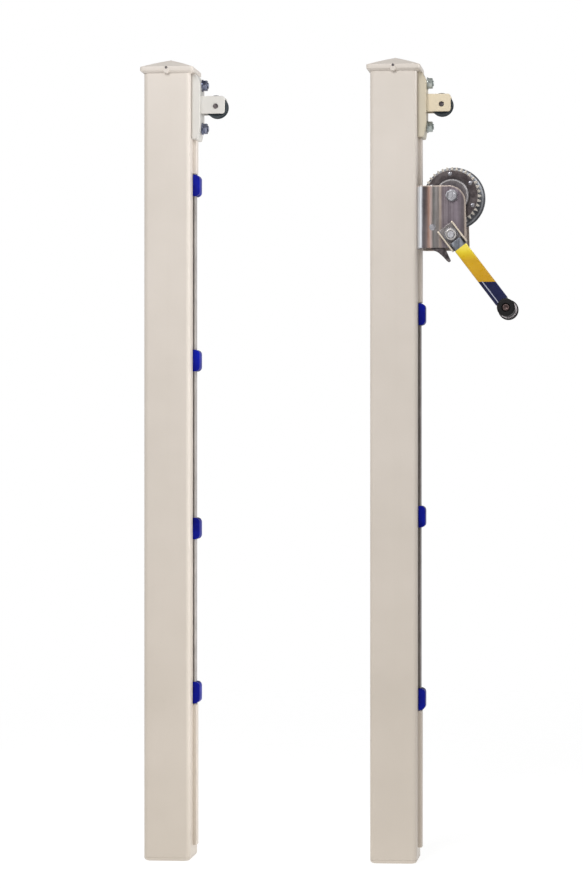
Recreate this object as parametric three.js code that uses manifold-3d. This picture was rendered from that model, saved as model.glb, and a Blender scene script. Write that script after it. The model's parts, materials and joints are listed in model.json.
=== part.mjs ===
// A matched pair of square tennis net posts: a winch post, and a plain post to its left.
// Millimetres, +Z up. The origin is the centre of the winch post's foot. Hooks, pulleys and the winch
// are on each post's +X face, and the winch's crank is on the front, towards -Y.

import * as THREE from "three";
import { mergeVertices } from "three/addons/utils/BufferGeometryUtils.js";
import Module from "manifold-3d";

const wasm = await Module();
wasm.setup();

// Clearances and facets
const gap = 0.3;
const overrun = 1;
const weld = 0.001;
const cornerSteps = 4;
const roundSides = 24;
const smallSides = 16;
const quarter = Math.PI / 2;

// The pair and its square posts
const pairSpacing = 388;
const post = { width: 80, wall: 3, corner: 8, top: 1345 };
const side = post.width / 2;
const bore = post.width - 2 * post.wall;
const foot = { height: 6, round: 6, skirt: 20, skirtWall: 4 };
const cap = { seatWidth: 82, rimWidth: 91.5, flare: 3, rim: 7.5, peak: 16.5, corner: 5, skirt: 10 };
const capScrew = { head: 2.2, proud: 1, shank: 1.2, length: 6, drop: 2 };
const capLug = { radius: 5, proud: 0.8, drop: 7, depth: 5 };

// The side face: filler strips, hook rail and hooks
const strip = { width: 20, proud: 6.5, chamfer: 1, low: 24 };
const rail = { stem: 10, stemHeight: 2, width: 20, flange: 2.2 };
const hook = { width: 26, height: 37, claw: 1.4, wall: 1.3, cord: 4.3, arm: 2, round: 8, back: 5 };

// The head bracket, its pulley and its bolts
const bracket = {
  highInset: 17.2,
  lowInset: 19.9,
  boltRoom: 7,
  width: 50,
  plate: 3,
  proud: 14.5,
  lowProud: 10.6,
  lowSlope: 22.4,
  highProud: 8,
  highSlope: 13.7,
};
const cheek = { height: 30, rise: 2.5, reach: 55.7, plate: 5, corner: 5 };
const pulley = { axisOut: 40, radius: 19.5, width: 20, groove: 6, lip: 2.5 };
const axle = { radius: 4, head: 6.5, headHeight: 2.5, proud: 1 };
const bracketBolt = { shank: 5, across: 17, head: 7.5, washer: 10.5, washerHeight: 2, stub: 1.8, inside: 5 };

// Heights at the head, from the post's top down: the bolts stand clear of the pulley midway between them
const bracketHigh = post.top - gap;
const bracketBoltReach = pulley.radius + bracketBolt.washer + bracket.boltRoom;
const pulleyHeight = bracketHigh - bracket.highInset - bracketBoltReach;
const bracketLow = pulleyHeight - bracketBoltReach - bracket.lowInset;
const bracketBoltHeights = { upper: pulleyHeight + bracketBoltReach, lower: pulleyHeight - bracketBoltReach };

// The winch's folded frame, and how far it reaches past its two parallel axes
const winch = { drop: 212.5, drumRoom: 2.4 };
const frame = {
  depth: 76,
  plate: 3,
  bend: 7,
  below: 20.9,
  above: 17,
  beyondLow: 26,
  beyondHigh: 23,
  highRound: 28,
  lowRound: 8,
};
const frameBolt = { shank: 5, across: 15, head: 6, washer: 9.5, washerHeight: 1.5, stub: 0, inside: 5 };
const frameBoltInset = { upper: 11, lower: 19 };
const toothModule = 2.6;
const backlash = 0.35;
const pressureAngle = THREE.MathUtils.degToRad(20);
const rootShare = 1.25;
const flankSteps = 2;
const gearTeeth = 36;
const pinionTeeth = 16;
const drumHeight = post.top - winch.drop;
const crankHeight = drumHeight - (toothModule * (gearTeeth + pinionTeeth)) / 2;
const frameLow = crankHeight - frame.below;
const frameHigh = drumHeight + frame.above;
const faceWidth = 8;
const sideplay = 0.6;
const shaftRadius = 6;
const bushRadius = 9;
const gearBoss = 28;
const dimple = { count: 6, circle: 38, radius: 4, proud: 1.2, first: 95.5 };
const drum = { core: 22, flangeOver: 4.2, flange: 3, rearRoom: 6, hub: 14 };
const flangeRadius = toothModule * (gearTeeth / 2 + 1) + drum.flangeOver;
const axisOut = frame.plate + winch.drumRoom + flangeRadius;
const shaftHead = { across: 17, head: 6, washer: 10, washerHeight: 1.5, stub: 1 };

// The ratchet and its pawl, in the layer behind the front plate
const ratchet = { teeth: 16, tip: 17, root: 13.5, thick: 5, phase: 44 };
const pawl = { behind: 32.5, rise: 14.1, reach: 32, clear: 2, eye: 8, pin: 3.2, pinHead: 5.5 };
const pawlPinHead = 1.5;
const pawlWasher = { radius: 7, thick: 1.5 };

// The crank: a U-shaped socket, a folded arm that ends in a cup, and a turning grip
const crankAngle = THREE.MathUtils.degToRad(52.7);
const socket = { behind: 17.7, ahead: 25, washerRoom: 1, plate: 3, flange: 10, standoff: 7 };
const arm = { nutRoom: 0.5, sideRoom: 1.5, plate: 3, fold: 5, axis: 160, rim: 2.2, rimHeight: 3.5 };
const wrap = { startGap: 2, endGap: 1.5, thick: 0.5, inset: 0.8, breakBelow: 79.9 };
const crankNut = { across: 19, height: 9, washer: 12, washerHeight: 2, stub: 3 };
const clip = { radius: 9, thick: 2.7 };
const grip = { length: 84, base: 12, mouth: 15, waist: 12.6, round: 3, recess: 7, recessDepth: 6 };
const cupRoom = 2.8;
const socketWidth = (crankNut.washer + socket.washerRoom + socket.plate) * 2;
const armWidth = socketWidth - (socket.plate + arm.sideRoom) * 2;
const armStart = crankNut.washer + arm.nutRoom;
const cupRadius = grip.base + cupRoom + arm.rim;
const gripBolt = { radius: 4, head: 6.3, headHeight: 4, across: 10, nut: 4.5 };

// Colours
const paint = { color: 0xd3cac0, roughness: 0.45, metalness: 0 };
const clevisPaint = { color: 0xcfc6b4, roughness: 0.45, metalness: 0 };
const railBlack = { color: 0x4b4444, roughness: 0.55, metalness: 0.2 };
const hookBlue = { color: 0x1a2a9a, roughness: 0.35, metalness: 0 };
const zinc = { color: 0x9c9aa0, roughness: 0.35, metalness: 0.85 };
const darkZinc = { color: 0x5a5558, roughness: 0.45, metalness: 0.8 };
const pulleyGrey = { color: 0x2d373c, roughness: 0.5, metalness: 0.1 };
const plugPaint = { color: 0xc4bcb2, roughness: 0.6, metalness: 0 };
const wrapYellow = { color: 0xdcb020, roughness: 0.4, metalness: 0 };
const wrapNavy = { color: 0x191e50, roughness: 0.4, metalness: 0 };
const gripBlack = { color: 0x161618, roughness: 0.6, metalness: 0 };
const boltBrown = { color: 0x6b5a58, roughness: 0.5, metalness: 0.6 };

function solidOf(geometry) {
  const bare = geometry.clone();
  bare.deleteAttribute("normal");
  bare.deleteAttribute("uv");
  const merged = mergeVertices(bare, weld);
  const triVerts = new Uint32Array(merged.index.array);
  const vertProperties = merged.attributes.position.array;
  return new wasm.Manifold(new wasm.Mesh({ numProp: 3, vertProperties, triVerts }));
}

function geometryOf(solid) {
  const mesh = solid.getMesh();
  const shared = new THREE.BufferGeometry();
  shared.setAttribute("position", new THREE.BufferAttribute(mesh.vertProperties, 3));
  shared.setIndex(new THREE.BufferAttribute(mesh.triVerts, 1));
  const geometry = shared.toNonIndexed();
  geometry.computeVertexNormals();
  return geometry;
}

function join(first, ...others) {
  return geometryOf(others.reduce((sum, other) => sum.add(solidOf(other)), solidOf(first)));
}

function cut(body, ...tools) {
  return geometryOf(tools.reduce((rest, tool) => rest.subtract(solidOf(tool)), solidOf(body)));
}

function common(first, second) {
  return geometryOf(solidOf(first).intersect(solidOf(second)));
}

// A round or many-sided rod along one axis, from one end to the other, through the point given.
function rod(axis, radius, from, to, [x, y, z] = [0, 0, 0], sides = roundSides) {
  const geometry = new THREE.CylinderGeometry(radius, radius, to - from, sides);
  const middle = (from + to) / 2;
  if (axis === "x") return geometry.rotateZ(-quarter).translate(middle, y, z);
  if (axis === "y") return geometry.translate(x, middle, z);
  return geometry.rotateX(quarter).translate(x, y, middle);
}

// A ring along one axis.
function ring(axis, outer, inner, from, to, at, sides = roundSides) {
  return cut(
    rod(axis, outer, from, to, at, sides),
    rod(axis, inner, from - overrun, to + overrun, at, sides),
  );
}

function hexRadius(across) {
  return across / 2 / Math.cos(Math.PI / 6);
}

// A plate drawn in X and Z, between a front and a back value of Y.
function plateXZ(outline, front, back) {
  const flat = new THREE.ExtrudeGeometry(outline, {
    depth: back - front,
    bevelEnabled: false,
    curveSegments: cornerSteps * 2,
  });
  return flat.rotateX(quarter).translate(0, back, 0);
}

// A bar drawn in X and Y, between a low and a high value of Z.
function barXY(outline, low, high) {
  const flat = new THREE.ExtrudeGeometry(outline, { depth: high - low, bevelEnabled: false });
  return flat.translate(0, 0, low);
}

function polygon(points) {
  return new THREE.Shape(points.map(([x, y]) => new THREE.Vector2(x, y)));
}

function box(x0, x1, y0, y1, z0, z1) {
  const block = new THREE.BoxGeometry(x1 - x0, y1 - y0, z1 - z0);
  return block.translate((x0 + x1) / 2, (y0 + y1) / 2, (z0 + z1) / 2);
}

// The points of a square with rounded corners, anticlockwise.
function roundedSquare(width, radius) {
  const points = [];
  for (let corner = 0; corner < 4; corner += 1) {
    const diagonal = (corner + 0.5) * quarter;
    const centreX = Math.sign(Math.cos(diagonal)) * (width / 2 - radius);
    const centreY = Math.sign(Math.sin(diagonal)) * (width / 2 - radius);
    for (let step = 0; step <= cornerSteps; step += 1) {
      const angle = (corner + step / cornerSteps) * quarter;
      points.push([centreX + radius * Math.cos(angle), centreY + radius * Math.sin(angle)]);
    }
  }
  return points;
}

// A closed skin through level convex sections, with its top drawn up to a peak.
function loft(sections, peak) {
  const count = sections[0].points.length;
  const corners = sections.flatMap(({ height, points }) => points.map(([x, y]) => [x, y, height]));
  const bottom = corners.push([0, 0, sections[0].height]) - 1;
  const top = corners.push([0, 0, peak]) - 1;
  const faces = [];
  for (let level = 0; level < sections.length; level += 1) {
    for (let point = 0; point < count; point += 1) {
      const here = level * count + point;
      const next = level * count + ((point + 1) % count);
      if (level === 0) faces.push(bottom, next, here);
      if (level === sections.length - 1) faces.push(here, next, top);
      else faces.push(here, next, next + count, here, next + count, here + count);
    }
  }
  const geometry = new THREE.BufferGeometry();
  geometry.setAttribute("position", new THREE.Float32BufferAttribute(corners.flat(), 3));
  geometry.setIndex(faces);
  return geometry;
}

// A hex bolt or nut along +Z: its bearing face is at zero, and its shank runs down from there.
function hexBolt(size, length) {
  const headTop = size.washerHeight + size.head;
  return join(
    rod("z", size.shank, -length, headTop + size.stub, [0, 0, 0], smallSides),
    rod("z", size.washer, 0, size.washerHeight),
    rod("z", hexRadius(size.across), size.washerHeight / 2, headTop, [0, 0, 0], 6),
  );
}

function sideBolt(size, seat, height) {
  const length = seat - side + post.wall + size.inside;
  return hexBolt(size, length).rotateY(quarter).translate(seat, 0, height);
}

function postTube(boltHeights, boltSize) {
  const outer = barXY(polygon(roundedSquare(post.width, post.corner)), foot.height, post.top);
  const inner = barXY(
    polygon(roundedSquare(bore, post.corner - post.wall)),
    foot.height - overrun,
    post.top + overrun,
  );
  const holes = boltHeights.map((height) =>
    rod("x", boltSize.shank + gap, side - post.wall * 2, side + overrun, [0, 0, height], smallSides),
  );
  return cut(outer, inner, ...holes);
}

function footPlug() {
  const sections = [];
  for (let step = 0; step <= cornerSteps; step += 1) {
    const angle = (step / cornerSteps) * quarter;
    const inset = foot.round * (1 - Math.sin(angle));
    const height = foot.round * (1 - Math.cos(angle));
    sections.push({ height, points: roundedSquare(post.width - inset * 2, post.corner) });
  }
  const flange = loft(sections, foot.height);
  const skirtWidth = bore - gap * 2;
  const skirtTop = foot.height + foot.skirt;
  const skirt = barXY(polygon(roundedSquare(skirtWidth, post.corner - post.wall)), foot.round / 2, skirtTop);
  const hollowWidth = skirtWidth - foot.skirtWall * 2;
  const hollow = barXY(
    polygon(roundedSquare(hollowWidth, post.corner - post.wall)),
    foot.height,
    skirtTop + overrun,
  );
  return cut(join(flange, skirt), hollow);
}

const capRimLow = post.top + cap.flare;
const capRimHigh = capRimLow + cap.rim;
const capFront = -cap.rimWidth / 2;
const screwHeight = capRimHigh - capScrew.drop;

function postCap() {
  const sections = [
    { height: post.top, points: roundedSquare(cap.seatWidth, post.corner) },
    { height: capRimLow, points: roundedSquare(cap.rimWidth, cap.corner) },
    { height: capRimHigh, points: roundedSquare(cap.rimWidth, cap.corner) },
  ];
  const lid = loft(sections, capRimHigh + cap.peak);
  const skirtWidth = bore - gap * 2;
  const skirt = barXY(
    polygon(roundedSquare(skirtWidth, post.corner - post.wall)),
    post.top - cap.skirt,
    capRimLow,
  );
  const hollow = barXY(
    polygon(roundedSquare(skirtWidth - post.wall * 2, post.corner - post.wall)),
    post.top - cap.skirt - overrun,
    post.top,
  );
  const lugAt = [0, 0, capRimHigh - capLug.drop];
  const lug = rod("y", capLug.radius, capFront - capLug.proud, capFront + capLug.depth, lugAt, smallSides);
  const screwHole = rod(
    "y",
    capScrew.shank + gap,
    capFront - overrun * 2,
    capFront + capScrew.length + gap,
    [0, 0, screwHeight],
    smallSides,
  );
  return cut(join(cut(join(lid, skirt), hollow), lug), screwHole);
}

function capScrewPiece() {
  const seat = capFront - capLug.proud;
  const at = [0, 0, screwHeight];
  return join(
    rod("y", capScrew.head, seat - capScrew.proud, seat, at, smallSides),
    rod("y", capScrew.shank, seat - capScrew.proud / 2, capFront + capScrew.length, at, smallSides),
  );
}

function fillerStrip(low, high) {
  const half = strip.width / 2;
  const face = side + strip.proud;
  const outline = polygon([
    [side, -half],
    [face - strip.chamfer, -half],
    [face, -half + strip.chamfer],
    [face, half - strip.chamfer],
    [face - strip.chamfer, half],
    [side, half],
  ]);
  return barXY(outline, low, high);
}

function hookRail(low, high) {
  const stemTop = side + rail.stemHeight;
  const face = stemTop + rail.flange;
  const outline = polygon([
    [side, -rail.stem / 2],
    [stemTop, -rail.stem / 2],
    [stemTop, -rail.width / 2],
    [face, -rail.width / 2],
    [face, rail.width / 2],
    [stemTop, rail.width / 2],
    [stemTop, rail.stem / 2],
    [side, rail.stem / 2],
  ]);
  return barXY(outline, low, high);
}

// A slider that clasps the rail's flange, with a cord channel open towards the back.
function netHook() {
  const half = hook.width / 2;
  const heel = side + gap;
  const clawTop = heel + hook.claw;
  const cavityTop = side + rail.stemHeight + rail.flange + gap;
  const cordLow = cavityTop + hook.wall;
  const cordHigh = cordLow + hook.cord;
  const face = cordHigh + hook.arm;
  const stemSide = rail.stem / 2 + gap;
  const flangeSide = rail.width / 2 + gap;
  const section = polygon([
    [heel, -half],
    [face, -half],
    [face, half],
    [cordHigh, half],
    [cordHigh, hook.back - half],
    [cordLow, hook.back - half],
    [cordLow, half],
    [heel, half],
    [heel, stemSide],
    [clawTop, stemSide],
    [clawTop, flangeSide],
    [cavityTop, flangeSide],
    [cavityTop, -flangeSide],
    [clawTop, -flangeSide],
    [clawTop, -stemSide],
    [heel, -stemSide],
  ]);
  const tall = hook.height / 2;
  const profile = new THREE.Shape();
  profile.moveTo(side, -tall);
  profile.lineTo(face - hook.round, -tall);
  profile.absarc(face - hook.round, hook.round - tall, hook.round, -quarter, 0);
  profile.absarc(face - hook.round, tall - hook.round, hook.round, 0, quarter);
  profile.lineTo(side, tall);
  return common(barXY(section, -tall, tall), plateXZ(profile, -hook.width, hook.width));
}

const bracketSeat = side + bracket.proud;
const axleX = side + pulley.axisOut;
const cheekInner = pulley.width / 2 + gap * 2;
const cheekOuter = cheekInner + cheek.plate;

// The saddle's side outline, drawn in by an inset for its pocket.
function saddleOutline(inset) {
  const floor = inset > 0 ? side - overrun : side;
  const low = inset > 0 ? bracketLow - overrun : bracketLow;
  return polygon([
    [floor, low],
    [side + bracket.lowProud - inset, low],
    [bracketSeat - inset, bracketLow + bracket.lowSlope],
    [bracketSeat - inset, bracketHigh - bracket.highSlope - inset / 2],
    [side + bracket.highProud - inset / 2, bracketHigh - inset],
    [floor, bracketHigh - inset],
  ]);
}

function headBracket() {
  const half = bracket.width / 2;
  const saddle = plateXZ(saddleOutline(0), -half, half);
  const pocket = plateXZ(saddleOutline(bracket.plate), bracket.plate - half, half - bracket.plate);
  const boltHoles = Object.values(bracketBoltHeights).map((height) =>
    rod("x", bracketBolt.shank + gap, side, bracketSeat + overrun, [0, 0, height], smallSides),
  );
  const low = pulleyHeight + cheek.rise - cheek.height / 2;
  const high = low + cheek.height;
  const end = side + cheek.reach;
  const ear = new THREE.Shape();
  ear.moveTo(bracketSeat - bracket.plate / 2, low);
  ear.lineTo(end - cheek.corner, low);
  ear.absarc(end - cheek.corner, low + cheek.corner, cheek.corner, -quarter, 0);
  ear.absarc(end - cheek.corner, high - cheek.corner, cheek.corner, 0, quarter);
  ear.lineTo(bracketSeat - bracket.plate / 2, high);
  const ears = [plateXZ(ear, -cheekOuter, -cheekInner), plateXZ(ear, cheekInner, cheekOuter)];
  const at = [axleX, 0, pulleyHeight];
  const axleHole = rod("y", axle.radius + gap, -cheekOuter - overrun, cheekOuter + overrun, at, smallSides);
  return cut(join(cut(saddle, pocket), ...ears), axleHole, ...boltHoles);
}

function headPulley() {
  const half = pulley.width / 2;
  const grooveRoot = pulley.radius - pulley.groove;
  const points = [
    [axle.radius + gap, -half],
    [pulley.radius, -half],
    [pulley.radius, pulley.lip - half],
  ];
  for (let step = 1; step < cornerSteps * 2; step += 1) {
    const angle = (step / cornerSteps) * quarter;
    const y = -Math.cos(angle) * (half - pulley.lip);
    points.push([pulley.radius - Math.sin(angle) * (pulley.radius - grooveRoot), y]);
  }
  points.push([pulley.radius, half - pulley.lip], [pulley.radius, half], [axle.radius + gap, half]);
  points.push([axle.radius + gap, -half]);
  const profile = points.map(([radius, y]) => new THREE.Vector2(radius, y));
  return new THREE.LatheGeometry(profile, roundSides).translate(axleX, 0, pulleyHeight);
}

function pulleyAxle() {
  const at = [axleX, 0, pulleyHeight];
  return join(
    rod("y", axle.radius, -cheekOuter - axle.proud, cheekOuter + axle.headHeight / 2, at, smallSides),
    rod("y", axle.head, cheekOuter, cheekOuter + axle.headHeight, at, smallSides),
  );
}

// Places along Y and X that the winch's pieces share
const frontFace = -frame.depth / 2;
const frontInner = frontFace + frame.plate;
const rearInner = -frontInner;
const rearFace = -frontFace;
const axisX = side + axisOut;
const ratchetFront = frontInner + sideplay;
const ratchetBack = ratchetFront + ratchet.thick;
const gearFront = ratchetBack + sideplay + gap;
const gearBack = gearFront + faceWidth;
const drumAxis = [axisX, 0, drumHeight];
const crankAxis = [axisX, 0, crankHeight];
const flangeBack = rearInner - drum.rearRoom;
const flangeFront = flangeBack - drum.flange;
const pawlAxis = [axisX - pawl.behind, 0, crankHeight + pawl.rise];
const frameSeat = side + frame.plate;
const frameBoltHeights = {
  upper: frameHigh - frameBoltInset.upper,
  lower: frameLow + frameBoltInset.lower,
};

function winchFrame() {
  const reach = axisOut + Math.max(frame.beyondLow, frame.beyondHigh) + overrun;
  const inner = frame.depth / 2 - frame.plate;
  const innerBend = frame.bend - frame.plate;
  const section = new THREE.Shape();
  section.moveTo(side + reach, frontFace);
  section.lineTo(side + reach, -inner);
  section.absarc(frameSeat + innerBend, innerBend - inner, innerBend, -quarter, -quarter * 2, true);
  section.absarc(frameSeat + innerBend, inner - innerBend, innerBend, quarter * 2, quarter, true);
  section.lineTo(side + reach, inner);
  section.lineTo(side + reach, rearFace);
  section.absarc(side + frame.bend, rearFace - frame.bend, frame.bend, quarter, quarter * 2);
  section.absarc(side + frame.bend, frontFace + frame.bend, frame.bend, quarter * 2, quarter * 3);
  const outline = new THREE.Shape();
  const lowX = axisX + frame.beyondLow;
  const highX = axisX + frame.beyondHigh;
  outline.moveTo(side - overrun, frameLow);
  outline.lineTo(lowX - frame.lowRound, frameLow);
  outline.absarc(lowX - frame.lowRound, frameLow + frame.lowRound, frame.lowRound, -quarter, 0);
  outline.absarc(highX - frame.highRound, frameHigh - frame.highRound, frame.highRound, 0, quarter);
  outline.lineTo(side - overrun, frameHigh);
  const folded = common(
    barXY(section, frameLow - overrun, frameHigh + overrun),
    plateXZ(outline, frontFace - overrun, rearFace + overrun),
  );
  const holes = [drumAxis, crankAxis].map((at) =>
    rod("y", shaftRadius + gap, frontFace - overrun, rearFace + overrun, at),
  );
  const pinHole = rod("y", pawl.pin + gap, frontFace - overrun, frontInner + overrun, pawlAxis, smallSides);
  const boltHoles = Object.values(frameBoltHeights).map((height) =>
    rod("x", frameBolt.shank + gap, side - overrun, frameSeat + overrun, [0, 0, height], smallSides),
  );
  return cut(folded, ...holes, pinHole, ...boltHoles);
}

// The outline of an involute spur gear, with its first tooth at the phase angle.
function gearOutline(teeth, phase) {
  const pitch = (teeth * toothModule) / 2;
  const base = pitch * Math.cos(pressureAngle);
  const tip = pitch + toothModule;
  const root = pitch - toothModule * rootShare;
  const involute = (radius) => Math.tan(Math.acos(base / radius)) - Math.acos(base / radius);
  const halfAtPitch = ((Math.PI * toothModule) / 2 - backlash) / (2 * pitch);
  const halfAt = (radius) => halfAtPitch + involute(pitch) - involute(radius);
  const flank = [[root, halfAt(base)]];
  for (let step = 0; step <= flankSteps; step += 1) {
    const radius = base + ((tip - base) * step) / flankSteps;
    flank.push([radius, halfAt(radius)]);
  }
  const points = [];
  for (let tooth = 0; tooth < teeth; tooth += 1) {
    const centre = phase + (tooth * Math.PI * 2) / teeth;
    const rising = flank.map(([radius, half]) => [radius, centre - half]);
    const falling = flank.map(([radius, half]) => [radius, centre + half]).reverse();
    points.push(...rising, ...falling);
  }
  return polygon(points.map(([radius, angle]) => [radius * Math.cos(angle), radius * Math.sin(angle)]));
}

function mainGear() {
  const disc = plateXZ(gearOutline(gearTeeth, 0), gearFront, gearBack);
  const boss = rod("y", gearBoss, ratchetFront, gearFront + overrun);
  const dimples = [];
  for (let place = 0; place < dimple.count; place += 1) {
    const angle = THREE.MathUtils.degToRad(dimple.first + (place * 360) / dimple.count);
    const at = [dimple.circle * Math.cos(angle), 0, dimple.circle * Math.sin(angle)];
    dimples.push(rod("y", dimple.radius, gearFront - dimple.proud, gearFront + overrun, at, smallSides));
  }
  const hole = rod("y", bushRadius + gap, ratchetFront - overrun, gearBack + overrun);
  return cut(join(disc, boss, ...dimples), hole).translate(...drumAxis);
}

function drumCore() {
  return ring("y", drum.core, bushRadius + gap, gearBack, flangeFront, drumAxis);
}

function drumFlange() {
  const disc = rod("y", flangeRadius, flangeFront, flangeBack, drumAxis, roundSides * 2);
  const hub = rod("y", drum.hub, flangeBack - overrun, rearInner - sideplay, drumAxis);
  const hole = rod("y", bushRadius + gap, flangeFront - overrun, rearInner, drumAxis);
  return cut(join(disc, hub), hole);
}

function drumBush() {
  return ring("y", bushRadius, shaftRadius + gap, frontInner + gap, rearInner - gap, drumAxis);
}

function drumShaft() {
  const size = { ...shaftHead, shank: shaftRadius };
  const length = frame.depth + shaftHead.washerHeight + shaftHead.head + shaftHead.stub;
  return hexBolt(size, length).rotateX(quarter).translate(axisX, frontFace, drumHeight);
}

function nut(size, hole, from, at) {
  const washerBack = from + size.washerHeight;
  const hexFrom = washerBack - size.washerHeight / 2;
  const body = join(
    rod("y", size.washer, from, washerBack, at),
    rod("y", hexRadius(size.across), hexFrom, washerBack + size.head, at, 6),
  );
  return cut(body, rod("y", hole + gap, from - overrun, washerBack + size.head + overrun, at));
}

function pinion() {
  const toothPitch = (Math.PI * 2) / pinionTeeth;
  const disc = plateXZ(gearOutline(pinionTeeth, toothPitch / 2), ratchetBack, gearBack + sideplay);
  const hole = rod("y", shaftRadius + gap, ratchetBack - overrun, gearBack + sideplay + overrun);
  return cut(disc, hole).translate(...crankAxis);
}

function ratchetWheel() {
  const points = [];
  const toothPitch = (Math.PI * 2) / ratchet.teeth;
  for (let tooth = 0; tooth < ratchet.teeth; tooth += 1) {
    const angle = THREE.MathUtils.degToRad(ratchet.phase) + tooth * toothPitch;
    points.push([ratchet.root * Math.cos(angle), ratchet.root * Math.sin(angle)]);
    points.push([ratchet.tip * Math.cos(angle), ratchet.tip * Math.sin(angle)]);
  }
  const disc = plateXZ(polygon(points), ratchetFront, ratchetBack);
  const hole = rod("y", shaftRadius + gap, ratchetFront - overrun, ratchetBack + overrun);
  return cut(disc, hole).translate(...crankAxis);
}

// The pawl at rest, lifted clear of the ratchet. Along runs from its pivot to its nose, and across
// towards the ratchet. The finger tail carries on past the nose and below the frame.
function pawlPiece() {
  const toCrankX = pawl.behind;
  const toCrankZ = -pawl.rise;
  const distance = Math.hypot(toCrankX, toCrankZ);
  const noseRadius = ratchet.tip + pawl.clear;
  const cosine = (distance ** 2 + pawl.reach ** 2 - noseRadius ** 2) / (2 * distance * pawl.reach);
  const along = Math.atan2(toCrankZ, toCrankX) - Math.acos(cosine);
  const reachShares = [
    [0, -0.13],
    [0.88, -0.13],
    [0.94, 0],
    [1, 0],
    [1.03, -0.13],
    [1.14, -0.14],
    [2, -0.265],
    [1.97, -0.39],
    [1.87, -0.42],
    [1.41, -0.465],
    [0.88, -0.59],
    [0.3, -0.42],
    [0, -0.2],
  ];
  const outline = polygon(
    reachShares.map(([forward, across]) => {
      const u = forward * pawl.reach;
      const v = across * pawl.reach;
      return [u * Math.cos(along) - v * Math.sin(along), u * Math.sin(along) + v * Math.cos(along)];
    }),
  );
  const front = ratchetFront;
  const back = ratchetBack;
  const blade = plateXZ(outline, front, back);
  const eye = rod("y", pawl.eye, front, back);
  const hole = rod("y", pawl.pin + gap, front - overrun, back + overrun, [0, 0, 0], smallSides);
  return cut(join(blade, eye), hole).translate(...pawlAxis);
}

function pawlPin() {
  const end = ratchetBack + pawlWasher.thick + gap;
  return join(
    rod("y", pawl.pinHead, frontFace - pawlPinHead, frontFace, pawlAxis, smallSides),
    rod("y", pawl.pin, frontFace - pawlPinHead / 2, end + pawlPinHead, pawlAxis, smallSides),
    rod("y", pawl.pin + overrun, end, end + pawlPinHead, pawlAxis, smallSides),
  );
}

function pawlWasherPiece() {
  const front = ratchetBack + gap / 2;
  const hole = pawl.pin + gap;
  return ring("y", pawlWasher.radius, hole, front, front + pawlWasher.thick, pawlAxis, smallSides);
}

// The crank's layers, from the frame's front face towards the viewer
const socketBack = frontFace - socket.standoff;
const socketFront = socketBack - socket.plate;
const armBack = socketFront - arm.fold;
const armFront = armBack - arm.plate;
const gripBase = armFront - gap;
const gripFront = gripBase - grip.length;
const nutFront = socketFront - crankNut.washerHeight - crankNut.height;

function crankShaft() {
  const rearEnd = rearFace + clip.thick + gap * 2;
  return join(
    rod("y", shaftRadius, nutFront - crankNut.stub, rearEnd, crankAxis),
    rod("y", shaftRadius + overrun * 2, gearBack + sideplay, rearInner - gap, crankAxis),
  );
}

function crankSocket() {
  const half = socketWidth / 2;
  const flangeFront = socketFront - socket.flange;
  const web = box(-socket.behind, socket.ahead, socketFront, socketBack, -half, half);
  const flange = (low, high) => box(-socket.behind, socket.ahead, flangeFront, socketBack, low, high);
  const hole = rod("y", shaftRadius + gap, socketFront - overrun, socketBack + overrun);
  return cut(join(web, flange(-half, socket.plate - half), flange(half - socket.plate, half)), hole);
}

function crankArm() {
  const half = armWidth / 2;
  const at = [arm.axis, 0, 0];
  const face = box(armStart, arm.axis, armFront, armBack, -half, half);
  const fold = (low, high) => box(armStart, arm.axis, armFront, socketFront, low, high);
  const cup = rod("y", cupRadius, armFront, armBack, at);
  const rim = rod("y", cupRadius, armFront - arm.rimHeight, socketFront, at);
  const insideFront = rod("y", cupRadius - arm.rim, armFront - arm.rimHeight - overrun, armFront, at);
  const insideBack = rod("y", cupRadius - arm.rim, armBack, socketFront + overrun, at);
  const shell = join(face, fold(-half, arm.plate - half), fold(half - arm.plate, half), cup, rim);
  const hole = rod("y", gripBolt.radius + gap, armFront - overrun, armBack + overrun, at, smallSides);
  return cut(shell, insideFront, insideBack, hole);
}

// The coloured wraps meet on a line that lies level when the crank is at rest.
function armWrap(isUpper) {
  const half = armWidth / 2 - wrap.inset;
  const start = socket.ahead + wrap.startGap;
  const end = arm.axis - cupRadius - wrap.endGap;
  const breakAt = (across) => (wrap.breakBelow + across * Math.cos(crankAngle)) / Math.sin(crankAngle);
  const upper = [
    [start, -half],
    [breakAt(-half), -half],
    [breakAt(half), half],
    [start, half],
  ];
  const lower = [
    [breakAt(-half), -half],
    [end, -half],
    [end, half],
    [breakAt(half), half],
  ];
  return plateXZ(polygon(isUpper ? upper : lower), armFront - wrap.thick, armFront);
}

function crankWasher() {
  return ring("y", crankNut.washer, shaftRadius + gap, socketFront - crankNut.washerHeight, socketFront);
}

function crankNutPiece() {
  const back = socketFront - crankNut.washerHeight;
  return cut(
    rod("y", hexRadius(crankNut.across), nutFront, back, [0, 0, 0], 6),
    rod("y", shaftRadius + gap, nutFront - overrun, back + overrun),
  );
}

function spacerSleeve() {
  return ring("y", bushRadius, shaftRadius + gap, socketBack, frontFace - gap, crankAxis);
}

function shaftClip() {
  return ring("y", clip.radius, shaftRadius + gap, rearFace + gap, rearFace + gap + clip.thick, crankAxis);
}

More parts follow.
